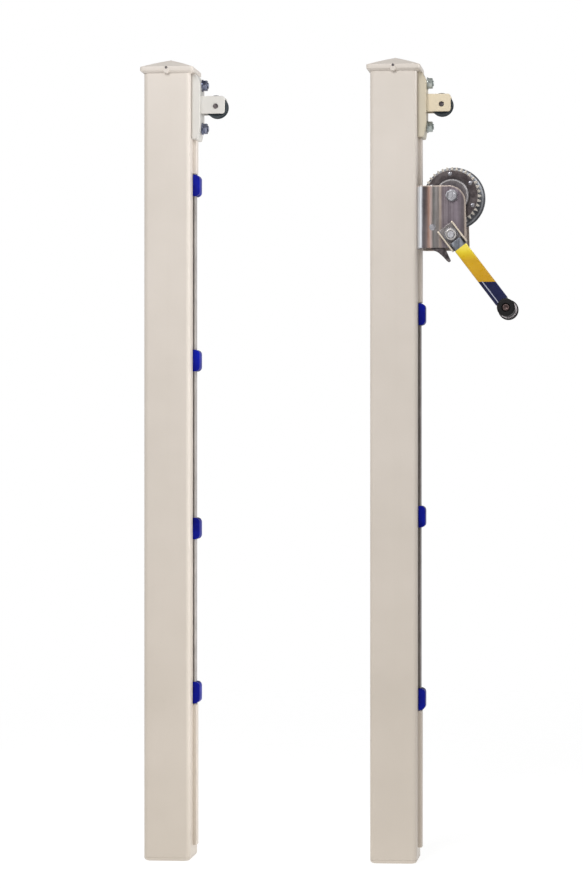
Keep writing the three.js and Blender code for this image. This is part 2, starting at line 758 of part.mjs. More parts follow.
// The grip is turned about Y: its bore, its base in the cup, a slim waist and a wide, rounded mouth.
function gripPiece() {
  const boreRadius = gripBolt.radius + gap;
  const points = [
    [boreRadius, gripFront + grip.recessDepth],
    [grip.recess, gripFront + grip.recessDepth],
    [grip.recess, gripFront],
    [grip.mouth - grip.round, gripFront],
  ];
  for (let step = 1; step <= cornerSteps; step += 1) {
    const angle = (step / cornerSteps) * quarter;
    const radius = grip.mouth - grip.round * (1 - Math.sin(angle));
    points.push([radius, gripFront + grip.round * (1 - Math.cos(angle))]);
  }
  points.push(
    [grip.mouth, gripFront + grip.length / 8],
    [grip.waist, gripFront + grip.length / 3],
    [grip.waist + grip.round / 3, gripFront + grip.length / 2],
    [grip.waist, gripFront + (grip.length * 3) / 4],
    [grip.base, gripBase - grip.round],
    [grip.base, gripBase],
    [boreRadius, gripBase],
    [boreRadius, gripFront + grip.recessDepth],
  );
  const profile = points.map(([radius, y]) => new THREE.Vector2(radius, y));
  return new THREE.LatheGeometry(profile, roundSides).translate(arm.axis, 0, 0);
}

function gripBoltPiece() {
  const at = [arm.axis, 0, 0];
  const headBack = gripFront + grip.recessDepth - gap;
  return join(
    rod("y", gripBolt.head, headBack - gripBolt.headHeight, headBack, at, smallSides),
    rod("y", gripBolt.radius, headBack - overrun, armBack + gripBolt.nut, at, smallSides),
  );
}

function gripNut() {
  const at = [arm.axis, 0, 0];
  return cut(
    rod("y", hexRadius(gripBolt.across) + overrun, armBack, armBack + gripBolt.nut, at, 6),
    rod("y", gripBolt.radius + gap, armBack - overrun, armBack + gripBolt.nut + overrun, at, smallSides),
  );
}

function add(group, name, geometry, finish) {
  const mesh = new THREE.Mesh(geometry, new THREE.MeshStandardMaterial(finish));
  mesh.name = name;
  group.add(mesh);
}

// One post with its head, rail and hooks. A strip runs between each pair of its strip heights, and a
// hook's share is its place between the lowest and the highest that hooks are set.
function addPost(group, name, { boltHeights, railSpan, stripSpans, hookInset, hookShares }) {
  const [railLow, railHigh] = railSpan;
  const lowest = railLow + hookInset;
  const hookTravel = railHigh - hookInset - lowest;
  const bracketHeights = Object.values(bracketBoltHeights);
  add(group, `${name}_tube`, postTube([...bracketHeights, ...boltHeights], bracketBolt), paint);
  add(group, `${name}_foot_plug`, footPlug(), plugPaint);
  add(group, `${name}_cap`, postCap(), paint);
  add(group, `${name}_cap_screw`, capScrewPiece(), darkZinc);
  add(group, `${name}_head_bracket`, headBracket(), clevisPaint);
  for (const [place, height] of Object.entries(bracketBoltHeights)) {
    add(group, `${name}_bracket_bolt_${place}`, sideBolt(bracketBolt, bracketSeat, height), zinc);
  }
  add(group, `${name}_head_pulley`, headPulley(), pulleyGrey);
  add(group, `${name}_pulley_axle`, pulleyAxle(), darkZinc);
  add(group, `${name}_hook_rail`, hookRail(...railSpan), railBlack);
  for (const [place, span] of Object.entries(stripSpans)) {
    add(group, `${name}_${place}_strip`, fillerStrip(...span), paint);
  }
  hookShares.forEach((share, index) => {
    const slider = new THREE.Group();
    slider.position.z = lowest + hookTravel * share;
    add(slider, `${name}_net_hook_${index + 1}`, netHook(), hookBlue);
    group.add(slider);
  });
}

function addWinch(group) {
  add(group, "winch_frame", winchFrame(), zinc);
  for (const [place, height] of Object.entries(frameBoltHeights)) {
    add(group, `winch_frame_bolt_${place}`, sideBolt(frameBolt, frameSeat, height), zinc);
  }
  add(group, "winch_main_gear", mainGear(), darkZinc);
  add(group, "winch_drum_core", drumCore(), darkZinc);
  add(group, "winch_drum_flange", drumFlange(), zinc);
  add(group, "winch_drum_bush", drumBush(), zinc);
  add(group, "winch_drum_shaft", drumShaft(), zinc);
  add(group, "winch_drum_shaft_nut", nut(shaftHead, shaftRadius, rearFace, drumAxis), zinc);
  add(group, "winch_pinion", pinion(), darkZinc);
  add(group, "winch_ratchet_wheel", ratchetWheel(), darkZinc);
  add(group, "winch_pawl", pawlPiece(), darkZinc);
  add(group, "winch_pawl_pin", pawlPin(), zinc);
  add(group, "winch_pawl_washer", pawlWasherPiece(), zinc);
  add(group, "winch_crank_shaft", crankShaft(), zinc);
  add(group, "winch_crank_spacer", spacerSleeve(), zinc);
  add(group, "winch_crank_shaft_clip", shaftClip(), zinc);
}

function addCrank(group) {
  const crank = new THREE.Group();
  crank.position.set(...crankAxis);
  crank.rotation.y = crankAngle;
  add(crank, "winch_crank_socket", crankSocket(), zinc);
  add(crank, "winch_crank_arm", crankArm(), zinc);
  add(crank, "winch_crank_wrap_upper", armWrap(true), wrapYellow);
  add(crank, "winch_crank_wrap_lower", armWrap(false), wrapNavy);
  add(crank, "winch_crank_washer", crankWasher(), zinc);
  add(crank, "winch_crank_nut", crankNutPiece(), zinc);
  add(crank, "winch_grip", gripPiece(), gripBlack);
  add(crank, "winch_grip_bolt", gripBoltPiece(), boltBrown);
  add(crank, "winch_grip_nut", gripNut(), zinc);
  group.add(crank);
}

const railLow = { winch: 257, plain: 265 };
const stripLength = { middle: 91, upper: 57.6 };
const hookInset = { winch: 20, plain: 20.5 };
const winchHookShares = [1, 0.474085, 0];
const plainHookShares = [1, 0.654598, 0.323563, 0];
const winchRailHigh = frameLow - stripLength.middle;
const plainRailHigh = bracketLow - stripLength.upper;
const stripTop = bracketLow - gap;

const pair = new THREE.Group();
const winchPost = new THREE.Group();
addPost(winchPost, "winch_post", {
  boltHeights: Object.values(frameBoltHeights),
  railSpan: [railLow.winch, winchRailHigh],
  stripSpans: {
    upper: [frameHigh + gap, stripTop],
    middle: [winchRailHigh, frameLow - gap],
    lower: [strip.low, railLow.winch],
  },
  hookInset: hookInset.winch,
  hookShares: winchHookShares,
});
addWinch(winchPost);
addCrank(winchPost);
pair.add(winchPost);

const plainPost = new THREE.Group();
plainPost.position.x = -pairSpacing;
addPost(plainPost, "plain_post", {
  boltHeights: [],
  railSpan: [railLow.plain, plainRailHigh],
  stripSpans: { upper: [plainRailHigh, stripTop], lower: [strip.low, railLow.plain] },
  hookInset: hookInset.plain,
  hookShares: plainHookShares,
});
pair.add(plainPost);

export default pair;
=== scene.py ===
"""Looks for a pair of square tennis net posts, one with a cable winch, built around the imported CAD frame.

Lengths are millimetres in the shared frame, unless a name ends in _M. Shapes are made in millimetres and
turned into metres where an object is created.
"""

import json
import math

import bmesh
import bpy
from mathutils import Matrix, Vector
from mathutils.geometry import tessellate_polygon

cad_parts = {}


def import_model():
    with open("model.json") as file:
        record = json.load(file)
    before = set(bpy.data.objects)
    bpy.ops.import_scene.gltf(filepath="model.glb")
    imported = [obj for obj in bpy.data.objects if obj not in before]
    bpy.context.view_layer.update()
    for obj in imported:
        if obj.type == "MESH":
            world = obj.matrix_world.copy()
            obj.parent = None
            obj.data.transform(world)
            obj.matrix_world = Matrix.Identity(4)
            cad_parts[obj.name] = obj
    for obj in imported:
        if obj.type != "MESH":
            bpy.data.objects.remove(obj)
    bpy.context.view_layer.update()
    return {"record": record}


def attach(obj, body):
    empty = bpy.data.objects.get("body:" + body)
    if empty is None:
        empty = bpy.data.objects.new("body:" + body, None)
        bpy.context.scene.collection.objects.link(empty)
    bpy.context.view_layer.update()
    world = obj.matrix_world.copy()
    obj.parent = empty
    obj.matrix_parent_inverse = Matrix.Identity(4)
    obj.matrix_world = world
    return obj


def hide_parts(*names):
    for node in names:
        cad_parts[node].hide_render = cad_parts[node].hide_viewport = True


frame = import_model()

MM = 0.001
QUARTER = math.pi / 2
BODY_OF = {node: body for body, nodes in frame["record"]["behaviour"]["bodies"].items() for node in nodes}

# Camera, floor and lights, in metres and watts
CAMERA_AT_M = (0.42, -4.54, 0.711)
CAMERA_YAW = math.radians(4.5)
CAMERA_LENS = 108.0
CAMERA_SHIFT = -0.158
SENSOR = 36.0
FLOOR_RADIUS_M = 5.0
FLOOR_CENTRE_M = (-0.18, 0.0, 0.0)
FLOOR_FADE_M = (0.9, 3.2)
FLOOR_GREY = 0.24
FLOOR_GLOW = 0.86
ROOM_LIGHT = (0.3, 0.62)
WHITE = (1.0, 1.0, 1.0, 1.0)
# Where each light is, what it is aimed at, its size and its power
LIGHTS = {
    "key": ((-0.9, -3.0, 2.9), (-0.15, 0.0, 0.9), (1.6, 1.6), 73.0),
    "fill": ((1.8, -2.6, 1.2), (-0.1, 0.0, 0.8), (1.2, 1.8), 9.0),
    "side_strip": ((-0.08, -0.05, 0.72), (-0.36, 0.0, 0.72), (0.16, 1.6), 1.7),
    "head_strip": ((0.42, -0.07, 1.42), (0.04, 0.0, 1.19), (0.2, 0.2), 0.6),
}

# The posts
SPACING = 388.0
WIDTH = 80.0
WALL = 3.0
CORNER = 8.0
INNER_CORNER = CORNER - WALL
TUBE_LOW = 6.0
TUBE_TOP = 1345.0
SKIRT = WIDTH - 2 * WALL - 0.6
SIDE = WIDTH / 2
CORNER_STEPS = 8
EDGE_STEPS = 2
BEND_STEPS = 6
ROUND_STEPS = 96
SMALL_STEPS = 48
BRACKET_BOLTS = {"upper": 1327.5, "lower": 1253.5}
HOOKS = {"winch_post": [933.0, 588.0, 277.0], "plain_post": [1155.5, 855.0, 567.0, 285.5]}
RAILS = {"winch_post": (257.0, 953.0), "plain_post": (265.0, 1176.0)}

# The winch
AXIS_X = 99.0
DRUM_Z = 1132.5
CRANK_Z = 1064.9
FRAME_FRONT = -38.0
FRAME_REAR = 38.0
FRAME_LOW = 1044.0
FRAME_HIGH = 1149.5
FRAME_REACH = 82.0
FRAME_CORNER = 28.0
FRAME_RADIUS = 7.0
FRAME_BOLTS = {"upper": FRAME_HIGH - 11.0, "lower": FRAME_LOW + 19.0}
FRAME_BOLT = {
    "across": 15, "head": 6, "washer": 9.5, "washer_height": 1.5, "shank": 5, "stub": 0, "length": 11,
}
RATCHET_FRONT = -34.4
GEAR_FRONT = -28.5
GEAR_BACK = -20.5
CRANK_ANGLE = math.radians(52.7)
SOCKET_BACK = -45.0
SOCKET_FRONT = -48.0
ARM_FRONT = -56.0
ARM_BACK = -53.0
GRIP_ALONG = 160.0
GRIP_LENGTH = 84.0
GRIP_HOLE = 4.3
SHEET = 3.0
GAP = 0.3
SHAFT = 6.0
SHAFT_HOLE = 6.3
BUSH = 9.0
BUSH_HOLE = 9.3
BUSH_END = 34.7
FLANGE_FRONT = 26.0
GEAR_TEETH = 36
PINION_TEETH = 16
TOOTH_MODULE = 2.6
BACKLASH = 0.35
PINION_BACK = -19.9
RATCHET_BACK = -29.4
RATCHET_TEETH = 16
RATCHET_PHASE = math.radians(44)
RATCHET_ROOT = 13.5
RATCHET_TIP = 17.0


# Outlines

def ring_points(radius, steps, centre=(0.0, 0.0)):
    """The points of a circle, anticlockwise."""
    angles = [2 * math.pi * i / steps for i in range(steps)]
    return [(centre[0] + radius * math.cos(angle), centre[1] + radius * math.sin(angle)) for angle in angles]


def rounded(points, radius, steps):
    """The outline with each corner rounded, or each with its own radius where radius is a list."""
    radii = radius if isinstance(radius, (list, tuple)) else [radius] * len(points)
    out = []
    for i, point in enumerate(points):
        here = Vector(point)
        before = Vector(points[i - 1]) - here
        after = Vector(points[(i + 1) % len(points)]) - here
        turn = before.angle(after)
        if radii[i] <= 0 or turn > math.pi - 0.02:
            out.append(tuple(here))
            continue
        reach = min(radii[i] / math.tan(turn / 2), before.length * 0.49, after.length * 0.49)
        real = reach * math.tan(turn / 2)
        start = here + before.normalized() * reach
        end = here + after.normalized() * reach
        centre = here + (before.normalized() + after.normalized()).normalized() * (real / math.sin(turn / 2))
        first = start - centre
        sweep = (end - centre).angle_signed(first)
        for k in range(steps + 1):
            angle = sweep * k / steps
            out.append((
                centre.x + first.x * math.cos(angle) - first.y * math.sin(angle),
                centre.y + first.x * math.sin(angle) + first.y * math.cos(angle),
            ))
    return out


def rounded_square(width, radius):
    half = width / 2
    return rounded([(-half, -half), (half, -half), (half, half), (-half, half)], radius, CORNER_STEPS)


def area_of(loop):
    return sum(a[0] * b[1] - b[0] * a[1] for a, b in zip(loop, loop[1:] + loop[:1])) / 2


def inset(loop, distance):
    """The loop moved towards its left side, which is where the material is."""
    out = []
    for i, point in enumerate(loop):
        before = Vector(point) - Vector(loop[i - 1])
        after = Vector(loop[(i + 1) % len(loop)]) - Vector(point)
        if before.length < 1e-6 or after.length < 1e-6:
            before = after = before if before.length > after.length else after
        first = Vector((-before.y, before.x)).normalized()
        second = Vector((-after.y, after.x)).normalized()
        middle = first + second
        middle = middle.normalized() if middle.length > 1e-6 else first
        stretch = 1 / max(0.4, middle.dot(first))
        out.append((point[0] + middle.x * distance * stretch, point[1] + middle.y * distance * stretch))
    return out


def gear_outline(teeth, module, phase):
    """An involute spur gear, with a tooth centred on the phase angle."""
    pressure = math.radians(20)
    pitch = teeth * module / 2
    base = pitch * math.cos(pressure)
    tip = pitch + module
    root = pitch - module * 1.25

    def involute(radius):
        angle = math.acos(min(1.0, base / radius))
        return math.tan(angle) - angle

    half_pitch = (math.pi * module / 2 - BACKLASH) / (2 * pitch)

    def half_at(radius):
        return half_pitch + involute(pitch) - involute(radius)

    steps = 5
    flank = [(root, half_at(base) + 0.012), (root + 0.35, half_at(base))]
    for k in range(steps + 1):
        radius = base + (tip - base) * k / steps
        flank.append((radius, half_at(radius)))
    points = []
    for tooth in range(teeth):
        middle = phase + tooth * 2 * math.pi / teeth
        for radius, half in flank:
            points.append((radius * math.cos(middle - half), radius * math.sin(middle - half)))
        for radius, half in reversed(flank):
            points.append((radius * math.cos(middle + half), radius * math.sin(middle + half)))
    return points


# Solids, as bmeshes in millimetres

def band(bm, lower, upper):
    """Faces between two rings of vertices. Either may be a single vertex."""
    count = max(len(lower), len(upper))
    for i in range(count):
        j = (i + 1) % count
        if len(lower) == 1:
            bm.faces.new((lower[0], upper[j], upper[i]))
        elif len(upper) == 1:
            bm.faces.new((lower[i], lower[j], upper[0]))
        else:
            bm.faces.new((lower[i], lower[j], upper[j], upper[i]))


def outward(bm):
    bmesh.ops.recalc_face_normals(bm, faces=bm.faces)
    return bm


def place(axis, a, b, along):
    """Where an outline's point (a, b) lies at a height along the axis."""
    if axis == "x":
        return Vector((along, a, b))
    if axis == "y":
        return Vector((a, along, b))
    return Vector((a, b, along))


def plate(loops, low, high, edge, axis="z", edge_steps=EDGE_STEPS):
    """A flat piece cut from outlines, the first its outside and the others its holes, with rounded rims."""
    loops = [list(loop) for loop in loops]
    for i, loop in enumerate(loops):
        if (area_of(loop) > 0) != (i == 0):
            loop.reverse()
    edge = min(edge, (high - low) * 0.45)
    levels = []
    for k in range(edge_steps + 1):
        angle = QUARTER * k / edge_steps
        levels.append((low + edge * (1 - math.sin(angle)), edge * (1 - math.cos(angle))))
    levels = sorted({(round(z, 5), round(d, 5)) for z, d in levels})
    levels = levels + [(high - (z - low), d) for z, d in reversed(levels)]
    bm = bmesh.new()
    stacks = []
    for loop in loops:
        rows = []
        for height, distance in levels:
            drawn = inset(loop, distance) if distance > 0 else loop
            rows.append([bm.verts.new(place(axis, a, b, height)) for a, b in drawn])
        stacks.append(rows)
        for lower, upper in zip(rows, rows[1:]):
            band(bm, lower, upper)
    for level in (0, -1):
        corners = [v for rows in stacks for v in rows[level]]
        if len(stacks) == 1:
            bm.faces.new(corners)
            continue
        flat = [[Vector((*p, 0.0)) for p in inset(loop, levels[level][1])] for loop in loops]
        for triangle in tessellate_polygon(flat):
            bm.faces.new([corners[i] for i in triangle])
    return outward(bm)


def lathe(profile, at=(0.0, 0.0), axis="y", steps=ROUND_STEPS, edge=0.3):
    """A closed outline of (radius, along) points turned about an axis through the point given. A radius of
    zero is on the axis."""
    points = rounded(profile, [edge if p[0] > 0 else 0 for p in profile], EDGE_STEPS) if edge else profile
    bm = bmesh.new()
    rings = []
    for radius, along in points:
        if radius < 1e-6:
            rings.append([bm.verts.new(place(axis, at[0], at[1], along))])
            continue
        rings.append([
            bm.verts.new(place(axis, at[0] + a, at[1] + b, along)) for a, b in ring_points(radius, steps)
        ])
    for first, second in zip(rings, rings[1:] + rings[:1]):
        if len(first) > 1 or len(second) > 1:
            band(bm, first, second)
    bmesh.ops.remove_doubles(bm, verts=bm.verts, dist=1e-5)
    return outward(bm)


def loft(sections):
    """A closed skin through rings of points with the same count. A ring of one point is a peak."""
    bm = bmesh.new()
    rings = [[bm.verts.new(Vector(p)) for p in section] for section in sections]
    for first, second in zip(rings, rings[1:]):
        band(bm, first, second)
    for end in (rings[0], rings[-1]):
        if len(end) > 1:
            bm.faces.new(end)
    return outward(bm)


def merged(*parts):
    """Several bmeshes in one."""
    whole = bmesh.new()
    for part in parts:
        mesh = bpy.data.meshes.new("part")
        part.to_mesh(mesh)
        part.free()
        whole.from_mesh(mesh)
        bpy.data.meshes.remove(mesh)
    return whole


def moved(bm, matrix):
    bmesh.ops.transform(bm, matrix=matrix, verts=bm.verts)
    return bm


def hex_head(across, low, high, dome=0.96):
    """A hexagon along +Z. The dome is the share of its width that is left flat on top."""
    bm = bmesh.new()
    steps = SMALL_STEPS
    flat = across / 2 * dome
    chamfer = math.tan(math.radians(28))
    corners = []
    for i in range(steps):
        angle = 2 * math.pi * i / steps
        turn = (angle + math.pi / 6) % (math.pi / 3) - math.pi / 6
        corners.append((angle, across / 2 / math.cos(turn)))
    rows = [
        [(radius, angle, low) for angle, radius in corners],
        [(radius, angle, high - max(0.0, radius - flat) * chamfer) for angle, radius in corners],
        [(flat, angle, high) for angle, _ in corners],
    ]
    rows = [[bm.verts.new((r * math.cos(a), r * math.sin(a), z)) for r, a, z in row] for row in rows]
    for lower, upper in zip(rows, rows[1:]):
        band(bm, lower, upper)
    bm.faces.new(rows[0])
    bm.faces.new(rows[-1])
    return outward(bm)


def threaded_end(radius, low, high):
    """A short threaded stub along +Z, with ridges and a chamfered end."""
    pitch = 1.25
    profile = [(0.0, low), (radius, low)]
    z = low
    while z + pitch < high - 0.6:
        profile += [(radius, z + pitch * 0.35), (radius - 0.45, z + pitch * 0.6), (radius, z + pitch * 0.9)]
        z += pitch
    profile += [(radius, high - 0.6), (radius - 0.6, high), (0.0, high)]
    return lathe(profile, axis="z", steps=SMALL_STEPS, edge=0)


def hex_bolt(across, head, washer, washer_height, shank, stub, length):
    """A hex bolt or stud along +Z with its washer. Its seat is at zero."""
    def rod(radius, low, high):
        return lathe([(0, low), (radius, low), (radius, high), (0, high)], axis="z", steps=SMALL_STEPS)

    head_part = hex_head(across, washer_height * 0.6, washer_height + head)
    parts = [rod(washer, 0, washer_height), head_part, rod(shank, -length, 0.1)]
    if stub:
        parts.append(threaded_end(shank, washer_height + head - 0.2, washer_height + head + stub))
    return merged(*parts)


TO_X = Matrix.Rotation(QUARTER, 4, "Y")
TO_FRONT = Matrix.Rotation(QUARTER, 4, "X")
TO_REAR = Matrix.Rotation(-QUARTER, 4, "X")
CRANK_TURN = Matrix.Translation((AXIS_X, 0, CRANK_Z)) @ Matrix.Rotation(CRANK_ANGLE, 4, "Y")


def folded(pattern, holes, half_web, outer_radius, thick, to_place, skin=0.0, edge=0.4):
    """Sheet metal folded along two parallel lines. The pattern is drawn flat in (across, along). The web's
    outer face is at depth zero, and both flanges turn towards positive depth. to_place turns (across, depth,
    along) into a point. A skin lies outside the sheet by that much."""
    middle_radius = outer_radius - thick / 2
    arc = middle_radius * QUARTER
    low, high = (-skin, 0.0) if skin else (0.0, thick)
    bm = plate([pattern, *holes], low, high, edge=edge)
    for sign in (-1, 1):
        for step in range(BEND_STEPS + 1):
            across = sign * (half_web + arc * step / BEND_STEPS)
            geometry = list(bm.verts) + list(bm.edges) + list(bm.faces)
            bmesh.ops.bisect_plane(bm, geom=geometry, dist=1e-5, plane_co=(across, 0, 0), plane_no=(1, 0, 0))
    for v in bm.verts:
        across, along, inward = v.co
        sign = 1 if across >= 0 else -1
        beyond = abs(across) - half_web
        if beyond <= 0:
            v.co = to_place(across, inward, along)
            continue
        turn = min(1.0, beyond / arc) * QUARTER
        straight = max(0.0, beyond - arc)
        radius = outer_radius - inward
        v.co = to_place(
            sign * (half_web + radius * math.sin(turn)),
            outer_radius - radius * math.cos(turn) + straight,
            along,
        )
    return outward(bm)


# Objects

def make(name, bm, material, sharp=35.0, weighted=True):
    mesh = bpy.data.meshes.new(name)
    bmesh.ops.transform(bm, matrix=Matrix.Scale(MM, 4), verts=bm.verts)
    bm.to_mesh(mesh)
    bm.free()
    for polygon in mesh.polygons:
        polygon.use_smooth = True
    mesh.set_sharp_from_angle(angle=math.radians(sharp))
    obj = bpy.data.objects.new(name, mesh)
    bpy.context.scene.collection.objects.link(obj)
    for one in material if isinstance(material, list) else [material]:
        mesh.materials.append(one)
    if weighted:
        modifier = obj.modifiers.new("flat_faces", "WEIGHTED_NORMAL")
        modifier.keep_sharp = True
        modifier.weight = 80
    return obj


def stand_for(node, bm, material, **options):
    """A detailed piece in place of a CAD node, on the same body."""
    obj = make(f"{node}_detailed", bm, material, **options)
    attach(obj, BODY_OF[node])
    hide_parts(node)


# Materials

def rgb(r, g, b):
    """A screen colour of 0 to 255 as linear light."""
    def linear(value):
        share = value / 255
        return share / 12.92 if share <= 0.04045 else ((share + 0.055) / 1.055) ** 2.4

    return (linear(r), linear(g), linear(b), 1.0)


def set_inputs(node, values):
    for name, value in values.items():
        node.inputs[name].default_value = value


class Nodes:
    """Shader nodes that are being joined in a tree."""

    def __init__(self, tree):
        self.tree = tree

    def add(self, kind, **values):
        node = self.tree.nodes.new(f"ShaderNode{kind}")
        for key, value in values.items():
            setattr(node, key, value)
        return node

    def link(self, source, target):
        self.tree.links.new(source, target)

    def spread(self, factor, low, high, start=0.3, end=0.7):
        node = self.add("MapRange")
        set_inputs(node, {"From Min": start, "From Max": end, "To Min": low, "To Max": high})
        self.link(factor, node.inputs["Value"])
        return node.outputs["Result"]


class Finish(Nodes):
    """A procedural material in the making, on the object's own coordinates in metres. Its colours are screen
    colours of 0 to 255."""

    def __init__(self, name, roughness=0.5, metallic=0.0, coat=0.0):
        self.material = bpy.data.materials.new(name)
        self.material.use_nodes = True
        super().__init__(self.material.node_tree)
        self.shader = self.tree.nodes["Principled BSDF"]
        set_inputs(self.shader, {"Roughness": roughness, "Metallic": metallic, "Coat Weight": coat})
        self.coordinates = self.add("TexCoord").outputs["Object"]
        self.height = None

    def stretched(self, scale):
        mapping = self.add("Mapping")
        set_inputs(mapping, {"Scale": scale})
        self.link(self.coordinates, mapping.inputs["Vector"])
        return mapping.outputs["Vector"]

    def noise(self, scale, detail, rough=0.55):
        """Noise whose grain is 1 / scale metres, or a scale for each axis."""
        node = self.add("TexNoise")
        each_axis = isinstance(scale, tuple)
        set_inputs(node, {"Scale": 1.0 if each_axis else scale, "Detail": detail, "Roughness": rough})
        self.link(self.stretched(scale) if each_axis else self.coordinates, node.inputs["Vector"])
        return node.outputs["Fac"]

    def ramp(self, factor, stops):
        """A colour ramp of (place, colour) stops."""
        node = self.add("ValToRGB")
        while len(node.color_ramp.elements) < len(stops):
            node.color_ramp.elements.new(0.5)
        for element, (position, colour) in zip(node.color_ramp.elements, stops):
            element.position = position
            element.color = rgb(*colour)
        self.link(factor, node.inputs["Fac"])
        return node.outputs["Color"]

    def mix(self, factor, first, second, blend="MIX"):
        node = self.add("Mix", data_type="RGBA", blend_type=blend)
        if isinstance(factor, float):
            node.inputs["Factor"].default_value = factor
        else:
            self.link(factor, node.inputs["Factor"])
        for value, socket in ((first, node.inputs[6]), (second, node.inputs[7])):
            if isinstance(value, tuple):
                socket.default_value = rgb(*value)
            else:
                self.link(value, socket)
        return node.outputs[2]

    def vector(self, operation, *values):
        """A sum on vectors, which are sockets or fixed. Gives its Vector and its Value."""
        node = self.add("VectorMath", operation=operation)
        for value, socket in zip(values, node.inputs):
            if isinstance(value, tuple):
                socket.default_value = value
            else:
                self.link(value, socket)
        return node.outputs[0], node.outputs[1]

    def axis(self, name):
        """One of the coordinates X, Y or Z, in metres."""
        node = self.add("SeparateXYZ")
        self.link(self.coordinates, node.inputs["Vector"])
        return node.outputs[name]

    def by_place(self, length, stops, waver=0.0):
        """Colours at stops of (millimetres, colour) along a length in metres."""
        low, high = stops[0][0], stops[-1][0]
        if waver:
            moved_by = self.add("Math", operation="MULTIPLY_ADD")
            self.link(self.noise((70.0, 70.0, 9.0), 3.0), moved_by.inputs[0])
            moved_by.inputs[1].default_value = waver * MM * 2
            self.link(length, moved_by.inputs[2])
            length = moved_by.outputs["Value"]
            low, high = low + waver, high + waver
        share = self.spread(length, 0.0, 1.0, low * MM, high * MM)
        span = stops[-1][0] - stops[0][0]
        return self.ramp(share, [((place - stops[0][0]) / span, colour) for place, colour in stops])

    def bump(self, height, depth, strength):
        """Raises the surface by the height signal, up to a depth in millimetres."""
        node = self.add("Bump")
        set_inputs(node, {"Strength": strength, "Distance": depth * MM})
        self.link(height, node.inputs["Height"])
        if self.height is not None:
            self.link(self.height, node.inputs["Normal"])
        self.height = node.outputs["Normal"]

    def done(self, colour=None, roughness=None):
        if colour is not None:
            self.link(colour, self.shader.inputs["Base Color"])
        if roughness is not None:
            self.link(roughness, self.shader.inputs["Roughness"])
        if self.height is not None:
            self.link(self.height, self.shader.inputs["Normal"])
        return self.material


def paint(name, light, dark, dirt, foot=(255, 255, 255), bands=None):
    """Satin powder coat: soft mottling, faint vertical handling marks and an orange peel skin. A painted
    shade darkens it towards the ground, down to the foot colour. Bands are colours by place, here painted
    shade and light."""
    f = Finish(name, coat=0.12)
    cloud = f.ramp(f.noise(5.0, 3.0), [(0.3, dark), (0.7, light)])
    streaks = f.spread(f.noise((60.0, 60.0, 1.6), 4.0), 0.0, 0.22, 0.52, 0.75)
    colour = f.mix(streaks, cloud, dark)
    specks = f.spread(f.noise(420.0, 2.0), 0.0, 0.35, 0.68, 0.78)
    colour = f.mix(specks, colour, dirt)
    # Painted shade: darker towards the ground, where less light reaches the post
    ground_shade = f.by_place(f.axis("Z"), [(0.0, foot), (700.0, (247, 246, 244)), (1340.0, (255, 255, 255))])
    colour = f.mix(1.0, colour, ground_shade, "MULTIPLY")
    # Bands add painted light and shade by place
    if bands:
        colour = f.mix(0.6, colour, bands(f))
    f.bump(f.noise(700.0, 2.0), 0.05, 0.6)
    f.bump(f.noise(28.0, 2.0), 0.12, 0.35)
    return f.done(colour, f.spread(f.noise(35.0, 5.0), 0.36, 0.5))


def zinc(
    name, dark, middle, light, streak=(90.0, 90.0, 9.0), roughness=(0.26, 0.46), bands=None, metallic=0.9,
):
    """Zinc plate: stretched rolling streaks, cloudy passivation and fine scratches. Bands are colours by
    place, mostly painted light and shade, which the streaks then vary."""
    f = Finish(name, metallic=metallic)
    streaks = f.ramp(f.noise(streak, 5.0, 0.6), [(0.32, dark), (0.5, middle), (0.68, light)])
    clouds = f.ramp(f.noise(45.0, 4.0), [(0.35, dark), (0.65, light)])
    colour = f.mix(0.35, streaks, clouds)
    # Bands add painted light and shade by place
    if bands:
        colour = f.mix(0.78, colour, bands(f))
    f.bump(f.noise((900.0, 900.0, 40.0), 3.0, 0.7), 0.03, 0.5)
    f.bump(f.noise(60.0, 3.0), 0.08, 0.35)
    return f.done(colour, f.spread(f.noise(streak, 4.0), roughness[0], roughness[1]))


def moulded(name, light, dark, roughness, grain=600.0, depth=0.03, bands=None, sheen=0.5):
    """Moulded plastic or vinyl: a little colour drift and a fine grain. Sheen is its specular level."""
    f = Finish(name)
    f.shader.inputs["Specular IOR Level"].default_value = sheen
    colour = f.ramp(f.noise(40.0, 4.0), [(0.3, dark), (0.7, light)])
    if bands:
        colour = f.mix(0.8, colour, bands(f))
    f.bump(f.noise(grain, 3.0), depth, 0.6)
    return f.done(colour, f.spread(f.noise(90.0, 4.0), roughness[0], roughness[1]))


def bands_along(name, stops, waver=0.0):
    """Colours at places in millimetres along X, Y or Z, with borders that waver by a length."""
    def bands(f):
        return f.by_place(f.axis(name), stops, waver)

    return bands


def bands_around(centre, stops):
    """Colours at distances in millimetres from an axis along Y."""
    def bands(f):
        to_axis = (-centre[0] * MM, 0.0, -centre[1] * MM)
        flat, _ = f.vector("MULTIPLY_ADD", f.coordinates, (1.0, 0.0, 1.0), to_axis)
        return f.by_place(f.vector("LENGTH", flat)[1], stops)

    return bands


def bands_across_arm(stops):
    """Colours at places in millimetres across the crank arm, from its lower to its upper edge."""
    def bands(f):
        from_shaft, _ = f.vector("SUBTRACT", f.coordinates, (AXIS_X * MM, 0.0, CRANK_Z * MM))
        upwards = (math.sin(CRANK_ANGLE), 0.0, math.cos(CRANK_ANGLE))
        return f.by_place(f.vector("DOT_PRODUCT", from_shaft, upwards)[1], stops)

    return bands


